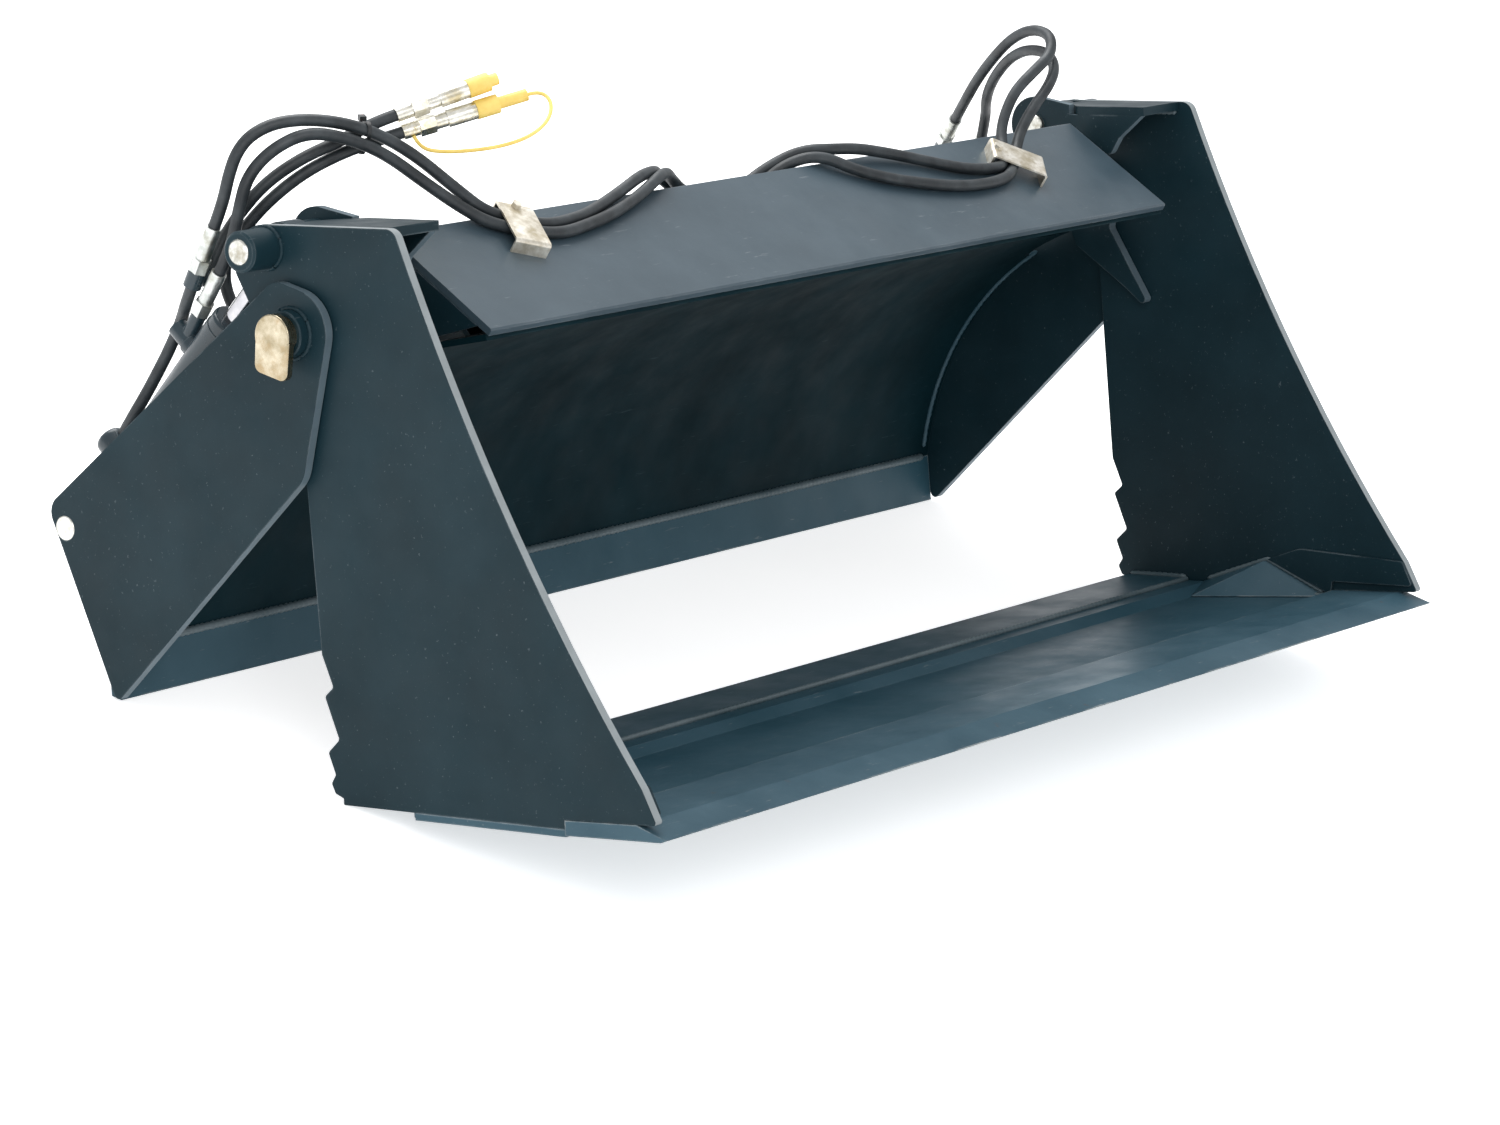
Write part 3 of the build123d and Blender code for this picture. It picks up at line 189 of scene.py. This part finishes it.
def painted(
    name, dark, light, worn_and_lit, roughness=(0.38, 0.56), worn_and_lit_amount=0.6, rust=False, edge_highlight=None, shine=0.25
):
    """Satin paint with clouding, fine scratches and edges mixed in patches toward a grey of rubbed paint that
    is also a painted highlight; the optional edge colour is a painted highlight on the edge faces of plates.
    """
    material, tree, shader = new_material(name)
    clouds = ramp(tree, noise(tree, 5.5, 6, 0.6), [(0.32, dark), (0.72, light)])
    # painted highlight: a lighter colour laid on the plate's edge faces in place of the light they catch
    if edge_highlight:
        painted_edge_highlight = ramp(tree, noise(tree, 30, 5, 0.6), [(0.3, tuple(0.8 * c for c in edge_highlight)), (0.7, edge_highlight)])
        clouds = mix(tree, plate_edge_highlight_mask(tree), clouds, painted_edge_highlight)
    scratches = grey(tree, noise(tree, 60, 3, 0.7, (0.35, 3, 3)), 0.0, 0.30, 0.66, 0.74)
    colour = mix(tree, scratches, clouds, worn_and_lit)
    patches = grey(tree, noise(tree, 9, 5, 0.65), 0.0, worn_and_lit_amount, 0.45, 0.62)
    # edges take the grey in patches, partly as rubbed paint and partly as a painted highlight
    worn_and_lit_edges = multiply(tree, edge_wear_and_highlight(tree, 0.0035), patches)
    colour = mix(tree, worn_and_lit_edges, colour, worn_and_lit)
    if rust:
        spots = grey(tree, noise(tree, 24, 6, 0.7), 0.0, 0.55, 0.66, 0.72)
        colour = mix(tree, spots, colour, (0.10, 0.045, 0.022))
    tree.links.new(colour, shader.inputs["Base Color"])
    tree.links.new(grey(tree, noise(tree, 14, 5), *roughness), shader.inputs["Roughness"])
    shader.inputs["Specular IOR Level"].default_value = shine
    bump(tree, shader, noise(tree, 230, 2), 0.12, 0.0006, 0.0012)
    return material


def metal(name, dark, light, roughness=(0.25, 0.42), grain=(1, 1, 1), scale=90.0, stain=None):
    """Bare or plated metal with a grain and, where stain is given, tarnish."""
    material, tree, shader = new_material(name)
    colour = ramp(tree, noise(tree, scale, 4, 0.6, grain), [(0.35, dark), (0.68, light)])
    if stain:
        blots = grey(tree, noise(tree, 38, 5, 0.65), 0.0, 0.75, 0.5, 0.66)
        colour = mix(tree, blots, colour, stain)
    tree.links.new(colour, shader.inputs["Base Color"])
    shader.inputs["Metallic"].default_value = 1.0
    tree.links.new(grey(tree, noise(tree, scale / 3, 4), *roughness), shader.inputs["Roughness"])
    bump(tree, shader, noise(tree, scale * 3, 2, 0.5, grain), 0.15, 0.0004, 0.0008)
    return material


def rubber(name):
    """Matte black hose rubber with a wrapped-cloth texture and dusty patches."""
    material, tree, shader = new_material(name)
    dust = ramp(tree, noise(tree, 22, 5, 0.6), [(0.4, (0.010, 0.014, 0.017)), (0.75, (0.042, 0.052, 0.058))])
    tree.links.new(dust, shader.inputs["Base Color"])
    tree.links.new(grey(tree, noise(tree, 30, 3), 0.42, 0.62), shader.inputs["Roughness"])
    bump(tree, shader, noise(tree, 420, 3, 0.6), 0.25, 0.0005)
    return material


def plastic(name, dark, light, roughness=(0.4, 0.6)):
    """Moulded plastic, a little faded."""
    material, tree, shader = new_material(name)
    colour = ramp(tree, noise(tree, 26, 4, 0.6), [(0.35, dark), (0.7, light)])
    tree.links.new(colour, shader.inputs["Base Color"])
    tree.links.new(grey(tree, noise(tree, 40, 3), *roughness), shader.inputs["Roughness"])
    shader.inputs["Subsurface Weight"].default_value = 0.05
    bump(tree, shader, noise(tree, 300, 2), 0.1, 0.0004)
    return material


# grey of rubbed paint for scratches and edges; on edges it is also a painted highlight
WORN_AND_LIT = (0.20, 0.24, 0.26)
# painted highlight: light grey for the edge faces of the clam's side plates, standing in for the light they
# catch
PLATE_EDGE_HIGHLIGHT = (0.26, 0.29, 0.30)
FRAME_PAINT = painted("frame_paint", (0.004, 0.016, 0.022), (0.008, 0.026, 0.035), WORN_AND_LIT, shine=0.16)
# painted highlight, toned down, for the edge faces of the rear plates, ears, lugs and end plates
REAR_EDGE_HIGHLIGHT = (0.10, 0.14, 0.165)
REAR_PAINT = painted(
    "rear_plate_paint", (0.004, 0.016, 0.022), (0.008, 0.026, 0.035), WORN_AND_LIT, edge_highlight=REAR_EDGE_HIGHLIGHT, shine=0.16
)
PLATE_PAINT = painted("plate_paint", (0.004, 0.016, 0.022), (0.008, 0.026, 0.035), WORN_AND_LIT, edge_highlight=PLATE_EDGE_HIGHLIGHT, shine=0.16)
# painted shade: the moldboard's paint is a darker copy of the frame paint, standing in for the shade inside
# the bucket
SHADED_INNER_PAINT = painted(
    "shaded_inner_paint", (0.001, 0.010, 0.014), (0.003, 0.019, 0.026), (0.04, 0.07, 0.08), (0.55, 0.75), shine=0.06
)
# painted highlight: the deflector's paint is a lighter copy of the frame paint, standing in for the overhead
# light on its top
LIT_DECK_PAINT = painted(
    "lit_deck_paint", (0.030, 0.052, 0.068), (0.052, 0.080, 0.100), (0.30, 0.33, 0.35), (0.30, 0.46), shine=0.5
)
FLOOR_PAINT = painted(
    "floor_paint", (0.018, 0.056, 0.078), (0.034, 0.080, 0.108), (0.30, 0.33, 0.34), (0.36, 0.52), 0.9
)
EDGE_PAINT = painted(
    "edge_paint", (0.022, 0.060, 0.084), (0.048, 0.098, 0.128), (0.42, 0.43, 0.41), (0.34, 0.5), 1.0, True
)
# painted highlight: weld beads are a lighter copy of the plate paint, standing in for the light the beads
# catch
LIT_WELD_PAINT = painted(
    "lit_weld_paint", (0.050, 0.078, 0.090), (0.115, 0.150, 0.165), (0.35, 0.38, 0.39), shine=0.4
)
CYLINDER_PAINT = painted(
    "cylinder_paint", (0.008, 0.020, 0.027), (0.018, 0.036, 0.047), (0.2, 0.24, 0.26), (0.22, 0.36), shine=0.5
)
ZINC_PIN = metal(
    "zinc_pin", (0.30, 0.25, 0.16), (0.56, 0.50, 0.38),
    (0.22, 0.36), (1, 1, 1), 40.0, (0.34, 0.25, 0.14)
)
PIN_STEEL = metal(
    "pin_steel", (0.48, 0.48, 0.44), (0.80, 0.80, 0.76),
    (0.28, 0.42), (1, 1, 1), 110.0, (0.3, 0.27, 0.2)
)
CHROME = metal("chrome_rod", (0.42, 0.42, 0.44), (0.58, 0.57, 0.58), (0.07, 0.14), (6, 1, 1), 40.0)
ZINC = metal(
    "zinc_fitting", (0.46, 0.48, 0.46), (0.72, 0.74, 0.72),
    (0.3, 0.46), (1, 1, 1), 70.0, (0.34, 0.33, 0.27)
)
COUPLER = metal(
    "coupler_steel", (0.60, 0.58, 0.50), (0.88, 0.86, 0.80),
    (0.22, 0.36), (1, 1, 1), 80.0, (0.45, 0.36, 0.16)
)
CLAMP = metal(
    "clamp_zinc", (0.55, 0.50, 0.40), (0.90, 0.87, 0.80),
    (0.38, 0.55), (1, 1, 1), 50.0, (0.42, 0.36, 0.24)
)
HOSE = rubber("hose_rubber")
YELLOW = plastic("yellow_plastic", (0.72, 0.50, 0.10), (0.86, 0.66, 0.20))
BLACK = plastic("black_plastic", (0.006, 0.008, 0.009), (0.02, 0.024, 0.027))

FINISHES = {
    "deflector": LIT_DECK_PAINT,
    "clam_floor": FLOOR_PAINT,
    "heel_strip": FLOOR_PAINT,
    "corner_gussets": FLOOR_PAINT,
    "cutting_edge": EDGE_PAINT,
    "moldboard": SHADED_INNER_PAINT,
    "rear_lip": FLOOR_PAINT,
    "left_pivot_pin": ZINC_PIN,
    "right_pivot_pin": ZINC_PIN,
    "rod_pins": PIN_STEEL,
    "cylinder_base_pins": PIN_STEEL,
    "pivot_bushings": PIN_STEEL,
    "couplers": COUPLER,
    "dust_caps": YELLOW,
    "zip_tie": BLACK,
    "left_hose_clamp": CLAMP,
    "right_hose_clamp": CLAMP,
    "clamp_bolts": CLAMP,
}
for name in ("pivot_ears", "cylinder_base_lugs", "rod_lugs", "beam_end_plates"):
    FINISHES[name] = REAR_PAINT
for side in ("left", "right"):
    FINISHES[f"{side}_clam_side_plate"] = PLATE_PAINT
    FINISHES[f"{side}_rear_side_plate"] = REAR_PAINT
    FINISHES[f"{side}_rod"] = CHROME
    FINISHES[f"{side}_hose_ferrules"] = ZINC
    for part in ("barrel", "base_eye", "gland", "rod_eye", "piston", "hose_tees"):
        FINISHES[f"{side}_{part}"] = CYLINDER_PAINT
for name, node in NODES.items():
    node.data.materials.clear()
    node.data.materials.append(FINISHES.get(name, FRAME_PAINT))

# ---------------------------------------------------------------- hoses

LEFT_A = [
    (-0.858, 0.388, 0.633), (-0.858, 0.3795, 0.667), (-0.857, 0.378, 0.703), (-0.853, 0.374, 0.736),
    (-0.838, 0.366, 0.761), (-0.806, 0.35, 0.779), (-0.762, 0.318, 0.786), (-0.712, 0.285, 0.778),
    (-0.664, 0.25, 0.754), (-0.618, 0.206, 0.714), (-0.576, 0.179, 0.6833), (-0.541, 0.163, 0.6775),
]
LEFT_B = [
    (-0.858, 0.368, 0.579), (-0.858, 0.354, 0.618), (-0.857, 0.353, 0.665), (-0.85, 0.354, 0.709),
    (-0.823, 0.344, 0.745), (-0.788, 0.32, 0.772), (-0.744, 0.291, 0.768), (-0.7, 0.263, 0.752),
    (-0.655, 0.227, 0.719), (-0.619, 0.19, 0.693), (-0.59, 0.161, 0.6772), (-0.555, 0.147, 0.672),
]
MIDDLE_A = [
    (-0.541, 0.163, 0.6775), (-0.506, 0.147, 0.6717), (-0.462, 0.147, 0.6717),
    (-0.41, 0.152, 0.674), (-0.352, 0.167, 0.681), (-0.3, 0.181, 0.6885), (-0.255, 0.191, 0.699),
    (-0.213, 0.204, 0.697), (-0.17, 0.229, 0.685), (-0.125, 0.245, 0.66), (-0.07, 0.247, 0.637),
    (-0.01, 0.246, 0.629), (0.045, 0.243, 0.633), (0.09, 0.234, 0.664), (0.131, 0.213, 0.69),
    (0.175, 0.191, 0.694), (0.225, 0.184, 0.692), (0.272, 0.174, 0.685), (0.315, 0.161, 0.678),
    (0.355, 0.143, 0.671), (0.4, 0.125, 0.664), (0.438, 0.116, 0.661), (0.466, 0.114, 0.66),
    (0.494, 0.114, 0.661), (0.515, 0.131, 0.666),
]
MIDDLE_B = [
    (-0.555, 0.147, 0.672), (-0.52, 0.133, 0.6668), (-0.477, 0.128, 0.665), (-0.425, 0.134, 0.668),
    (-0.37, 0.144, 0.671), (-0.315, 0.158, 0.677), (-0.262, 0.173, 0.686), (-0.219, 0.185, 0.698),
    (-0.179, 0.204, 0.692), (-0.141, 0.224, 0.674), (-0.102, 0.229, 0.65), (-0.048, 0.227, 0.633),
    (0.008, 0.226, 0.628), (0.06, 0.223, 0.641), (0.101, 0.209, 0.677), (0.14, 0.184, 0.691),
    (0.184, 0.151, 0.674), (0.234, 0.126, 0.6645), (0.285, 0.108, 0.6585), (0.34, 0.095, 0.653),
    (0.395, 0.088, 0.6505), (0.447, 0.088, 0.651), (0.493, 0.096, 0.654), (0.527, 0.119, 0.662),
]
RIGHT_A = [
    (0.515, 0.131, 0.666), (0.536, 0.148, 0.6715), (0.552, 0.167, 0.69), (0.568, 0.176, 0.716),
    (0.59, 0.18, 0.746), (0.622, 0.173, 0.776), (0.657, 0.175, 0.795), (0.682, 0.198, 0.815),
    (0.701, 0.243, 0.81), (0.718, 0.286, 0.782), (0.741, 0.326, 0.738), (0.766, 0.362, 0.693),
    (0.79, 0.391, 0.65), (0.816, 0.419, 0.61),
]
RIGHT_B = [
    (0.527, 0.119, 0.662), (0.552, 0.136, 0.668), (0.577, 0.151, 0.694), (0.606, 0.154, 0.728),
    (0.637, 0.156, 0.754), (0.666, 0.169, 0.775), (0.689, 0.201, 0.787), (0.704, 0.246, 0.778),
    (0.724, 0.286, 0.752), (0.749, 0.32, 0.715), (0.778, 0.347, 0.679), (0.811, 0.368, 0.649),
    (0.841, 0.383, 0.622), (0.858, 0.394, 0.584),
]
LEFT_BASE = [
    (-0.858, 0.4092, 0.5481), (-0.8575, 0.4155, 0.5229), (-0.837, 0.436, 0.492),
    (-0.834, 0.45, 0.451), (-0.84, 0.461, 0.411), (-0.849, 0.468, 0.379), (-0.855, 0.477, 0.351),
    (-0.856, 0.488, 0.323),
]
RIGHT_BASE = [
    (0.858, 0.462, 0.534), (0.858, 0.474, 0.49), (0.858, 0.481, 0.445), (0.857, 0.486, 0.403),
    (0.856, 0.4885, 0.366), (0.856, 0.4875, 0.329),
]
EXTEND = [
    (-0.834, 0.4035, 0.571), (-0.834, 0.394, 0.609), (-0.828, 0.374, 0.655), (-0.809, 0.357, 0.696),
    (-0.774, 0.333, 0.733), (-0.724, 0.314, 0.757), (-0.69, 0.3, 0.779), (-0.663, 0.286, 0.792),
]
RETRACT = [
    (-0.808, 0.357, 0.504), (-0.808, 0.385, 0.527), (-0.81, 0.402, 0.559), (-0.812, 0.397, 0.597),
    (-0.812, 0.376, 0.632), (-0.8, 0.355, 0.672), (-0.77, 0.331, 0.713), (-0.725, 0.315, 0.738),
    (-0.684, 0.294, 0.758), (-0.655, 0.277, 0.771),
]
LANYARD = [
    (-0.518, 0.1967, 0.83235), (-0.505, 0.189, 0.838), (-0.501, 0.172, 0.833),
    (-0.511, 0.158, 0.82), (-0.53, 0.152, 0.805), (-0.555, 0.158, 0.789), (-0.581, 0.177, 0.775),
    (-0.607, 0.201, 0.765), (-0.632, 0.226, 0.758), (-0.65, 0.248, 0.758), (-0.6475, 0.263, 0.769),
]
HOSE_R = 0.008
LANYARD_R = 0.0025


def from_heel(points):
    """Points given with y from the heel corner, as points of the row frame."""
    return [Vector((x, y + HEEL_Y, z)) for x, y, z in points]


def centreline(name, route):
    """A smooth NURBS curve through a route's control points."""
    curve = bpy.data.curves.new(name, "CURVE")
    curve.dimensions = "3D"
    curve.resolution_u = 10
    spline = curve.splines.new("NURBS")
    spline.points.add(len(route) - 1)
    for point, place_ in zip(spline.points, from_heel(route)):
        point.co = (*place_, 1)
    spline.order_u = 3
    spline.use_endpoint_u = True
    piece = bpy.data.objects.new(name, curve)
    bpy.context.scene.collection.objects.link(piece)
    return piece


def line_of(piece):
    """The points that a curve's own line follows, in the row frame."""
    bpy.context.view_layer.update()
    mesh = bpy.data.meshes.new_from_object(piece)
    points = [vertex.co.copy() for vertex in mesh.vertices]
    bpy.data.meshes.remove(mesh)
    return points


def round_hose(name, route, radius, material):
    """A hose as a curve with a round section."""
    piece = centreline(name, route)
    piece.data.bevel_depth = radius
    piece.data.bevel_resolution = 5
    piece.data.use_fill_caps = True
    piece.data.materials.append(material)
    return piece


def mesh_hose(name, route, radius, material):
    """A hose as a mesh, and the points that it follows."""
    guide = centreline(name + "_line", route)
    points = line_of(guide)
    guide.data.bevel_depth = radius
    guide.data.bevel_resolution = 5
    guide.data.use_fill_caps = True
    bpy.context.view_layer.update()
    mesh = bpy.data.meshes.new_from_object(guide)
    bpy.data.objects.remove(guide)
    for face in mesh.polygons:
        face.use_smooth = len(face.vertices) == 4
    mesh.materials.clear()
    mesh.materials.append(material)
    piece = bpy.data.objects.new(name, mesh)
    bpy.context.scene.collection.objects.link(piece)
    return piece, points


def crossover(side, letter, route):
    """A crossover hose from a cylinder to its clamp."""
    piece = mesh_hose(f"{side}_crossover_{letter}", route, HOSE_R, HOSE)[0]
    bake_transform(piece)
    return piece


left_pair = [
    crossover("left", "a", LEFT_A),
    crossover("left", "b", LEFT_B),
]
right_pair = [
    crossover("right", "a", list(reversed(RIGHT_A))),
    crossover("right", "b", list(reversed(RIGHT_B))),
]
for pair, node in ((left_pair, "left_crossover_hoses"), (right_pair, "right_crossover_hoses")):
    for piece in pair:
        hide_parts(node)

for letter, route in (("a", MIDDLE_A), ("b", MIDDLE_B)):
    piece = round_hose(f"middle_crossover_{letter}", route, HOSE_R, HOSE)
    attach(piece, "rear_body")
    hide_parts("crossover_hoses_middle")

for side, route in (("left", LEFT_BASE), ("right", RIGHT_BASE)):
    piece = round_hose(f"{side}_base_hose_line", route, HOSE_R, HOSE)
    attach(piece, f"{side}_barrel")
    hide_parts(f"{side}_base_hose")

supply_pieces = {
    "extend": (EXTEND, ["couplers", "dust_caps", "zip_tie"]),
    "retract": (RETRACT, ["couplers"]),
}
for word, (route, carried) in supply_pieces.items():
    piece, points = mesh_hose(f"supply_hose_{word}_line", route, HOSE_R, HOSE)
    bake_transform(piece)
    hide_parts(f"supply_hose_{word}")

lanyard = round_hose("lanyard_line", LANYARD, LANYARD_R, YELLOW)
lanyard_points = line_of(centreline("lanyard_guide", LANYARD))
bpy.data.objects.remove(bpy.data.objects["lanyard_guide"])
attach(lanyard, "rear_body")
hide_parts("cap_lanyard")

# ---------------------------------------------------------------- weld beads

BEAD_STEP = 0.0032
BEAD_SIDES = 9
BEAD_END = 0.35  # a bead's first and last rings, as a share of its radius
RING_CORNERS = 40
THIN_BEAD = 0.003
SMALL_BEAD = 0.0035
BEAD = 0.004
WIDE_BEAD = 0.0055


def weld(name, corners, radius, body, material=LIT_WELD_PAINT):
    """A rippled weld bead along straight runs between corners, given with y from the heel."""
    route = from_heel(corners)
    centres = []
    for first, last in zip(route, route[1:]):
        count = max(2, int((last - first).length / BEAD_STEP))
        centres += [first.lerp(last, index / count) for index in range(count)]
    centres.append(route[-1])
    vertices = []
    faces = []
    for index, centre in enumerate(centres):
        ahead = centres[min(index + 1, len(centres) - 1)] - centres[max(index - 1, 0)]
        ahead.normalize()
        side = ahead.orthogonal().normalized()
        up = ahead.cross(side)
        ripple = 1 + 0.13 * math.sin(index * 2.1) + random.uniform(-0.07, 0.07)
        ripple *= BEAD_END if index in (0, len(centres) - 1) else 1
        for corner in range(BEAD_SIDES):
            angle = 2 * math.pi * corner / BEAD_SIDES
            vertices.append(centre + (side * math.cos(angle) + up * math.sin(angle)) * radius * ripple)
    for ring in range(len(centres) - 1):
        for corner in range(BEAD_SIDES):
            here = ring * BEAD_SIDES + corner
            beside = ring * BEAD_SIDES + (corner + 1) % BEAD_SIDES
            faces.append((here, beside, beside + BEAD_SIDES, here + BEAD_SIDES))
    last_ring = len(vertices) - BEAD_SIDES
    faces.append(tuple(reversed(range(BEAD_SIDES))))
    faces.append(tuple(range(last_ring, last_ring + BEAD_SIDES)))
    mesh = bpy.data.meshes.new(name)
    mesh.from_pydata(vertices, [], faces)
    mesh.update()
    for face in mesh.polygons:
        face.use_smooth = True
    mesh.materials.append(material)
    piece = bpy.data.objects.new(name, mesh)
    bpy.context.scene.collection.objects.link(piece)
    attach(piece, body)


FLOOR_SLOPE = math.radians(16)


def over(y, above):
    """Point square above the clam's underside line at y."""
    return (y + above * math.sin(FLOOR_SLOPE), -y * math.tan(FLOOR_SLOPE) + above * math.cos(FLOOR_SLOPE))


CLAM_IN = 0.8868
EDGE_STEP_Y = -0.342
HEEL_FRONT_Y = -0.1
heel_line = over(HEEL_FRONT_Y, 0.0135)
edge_line = over(EDGE_STEP_Y + 0.001, 0.004)
weld("heel_weld", [(-CLAM_IN, *heel_line), (CLAM_IN, *heel_line)], BEAD, "clam")
weld("edge_weld", [(-CLAM_IN, *edge_line), (CLAM_IN, *edge_line)], WIDE_BEAD, "clam")
for side, sign in (("left", -1), ("right", 1)):
    wall = sign * (CLAM_IN - 0.001)
    floor_corner = [(wall, *over(-0.135, 0.003)), (wall, *over(-0.338, 0.003))]
    weld(f"{side}_floor_weld", floor_corner, BEAD, "clam")
    weld(f"{side}_heel_weld", [(wall, *over(-0.004, 0.0165)), (wall, *over(-0.098, 0.0165))], BEAD, "clam")
    peak = (wall, -0.222, 0.117)
    gusset_wall = [(wall, *over(-0.326, 0.008)), peak, (wall, *over(-0.135, 0.016))]
    weld(f"{side}_gusset_wall_weld", gusset_wall, SMALL_BEAD, "clam")
    weld(f"{side}_flange_weld", [(wall, 0.087, 0.713), (wall, 0.236, 0.6715)], BEAD, "clam")


MOLD_FOOT = (0.4067, 0.0654)  # where the moldboard meets the lip, with y from the heel
MOLD_SIDE = 0.8865
weld("lip_weld", [(-MOLD_SIDE, *MOLD_FOOT), (MOLD_SIDE, *MOLD_FOOT)], WIDE_BEAD, "rear_body")
MOLD_ARC = (-0.038, 0.120, 0.4475)  # centre and radius of the moldboard's face
ARC_CORNERS = 13
ARC_START = -5  # degrees above the horizontal
ARC_STEP = 4.2
for side, sign in (("left", -1), ("right", 1)):
    arc = []
    for step in range(ARC_CORNERS):
        angle = math.radians(ARC_START + step * ARC_STEP)
        arc.append((
            sign * MOLD_SIDE,
            MOLD_ARC[0] + MOLD_ARC[2] * math.cos(angle),
            MOLD_ARC[1] + MOLD_ARC[2] * math.sin(angle),
        ))
    weld(f"{side}_mold_weld", arc, SMALL_BEAD, "rear_body", FLOOR_PAINT)


PIVOT = (0.190, 0.563)  # the pivot and rod pins, with y from the heel
ROD_PIN = (0.264, 0.649)
FLAG_BEAD = 0.002
FLAG_SET_IN = 0.0022  # keeps the flag's bead inside the pin's own length


def ring_weld(name, centre, radius, bead, body, material):
    """A closed weld bead around a round boss on a side plate."""
    x, y, z = centre
    corners = []
    for index in range(RING_CORNERS + 1):
        angle = 2 * math.pi * index / RING_CORNERS
        corners.append((x, y + radius * math.cos(angle), z + radius * math.sin(angle)))
    weld(name, corners, bead, body, material)


for side, sign in (("left", -1), ("right", 1)):
    ring_weld(f"{side}_boss_weld", (sign * 0.9150, *PIVOT), 0.0315, THIN_BEAD, "rear_body", FRAME_PAINT)
    ring_weld(f"{side}_rod_boss_weld", (sign * 0.9000, *ROD_PIN), 0.0265, THIN_BEAD, "clam", FRAME_PAINT)
    flag_face = max(abs(corner[0]) for corner in NODES[f"{side}_pivot_pin"].bound_box) - FLAG_SET_IN
    ring_weld(f"{side}_flag_weld", (sign * flag_face, *PIVOT), 0.0165, FLAG_BEAD, "rear_body", ZINC_PIN)

# ---------------------------------------------------------------- stage, light and camera

FLOOR_MATERIAL, tree, shader = new_material("floor_pale")
tree.links.new(
    ramp(tree, noise(tree, 3, 2), [(0.3, (0.90, 0.90, 0.90)), (0.7, (0.94, 0.94, 0.94))]),
    shader.inputs["Base Color"],
)
shader.inputs["Roughness"].default_value = 0.9
shader.inputs["Emission Color"].default_value = (1, 1, 1, 1)
shader.inputs["Emission Strength"].default_value = 0.6
bpy.ops.mesh.primitive_plane_add(size=60, location=(0, 0, cad_box[0][2] - 0.001))
floor = bpy.context.object
floor.name = "floor"
floor.data.materials.append(FLOOR_MATERIAL)

world = bpy.data.worlds.new("studio")
bpy.context.scene.world = world
world.use_nodes = True
world.node_tree.nodes["Background"].inputs["Color"].default_value = (0.97, 0.98, 1.0, 1)
world.node_tree.nodes["Background"].inputs["Strength"].default_value = 0.85


def area_light(name, location, target, size, power):
    """A soft square light aimed at a point."""
    light = bpy.data.lights.new(name, "AREA")
    light.size = size
    light.energy = power
    lamp = bpy.data.objects.new(name, light)
    lamp.location = location
    direction = Vector(target) - Vector(location)
    lamp.rotation_euler = direction.to_track_quat("-Z", "Y").to_euler()
    bpy.context.scene.collection.objects.link(lamp)


BUCKET_MIDDLE = (0, 0, 0.4)
area_light("overhead", (0.5, 2.5, 4.5), BUCKET_MIDDLE, size=4.0, power=260)
area_light("front_left", (-4.5, -3.5, 3.5), BUCKET_MIDDLE, size=3.0, power=120)

EYE = Vector((-5.9393, -3.9796 + HEEL_Y, 2.5423))
RIGHT = Vector((0.60258, -0.77865, 0.17492))
UP = Vector((0.15205, 0.32718, 0.93265))
AHEAD = Vector((0.78344, 0.53539, -0.31555))
camera_data = bpy.data.cameras.new("camera")
camera_data.lens = 132.33
camera_data.sensor_width = 36
camera_data.clip_end = 100
camera = bpy.data.objects.new("camera", camera_data)
camera.matrix_world = Matrix.Translation(EYE) @ Matrix((RIGHT, UP, -AHEAD)).transposed().to_4x4()
bpy.context.scene.collection.objects.link(camera)
bpy.context.scene.camera = camera
bpy.context.scene.view_settings.view_transform = "Standard"
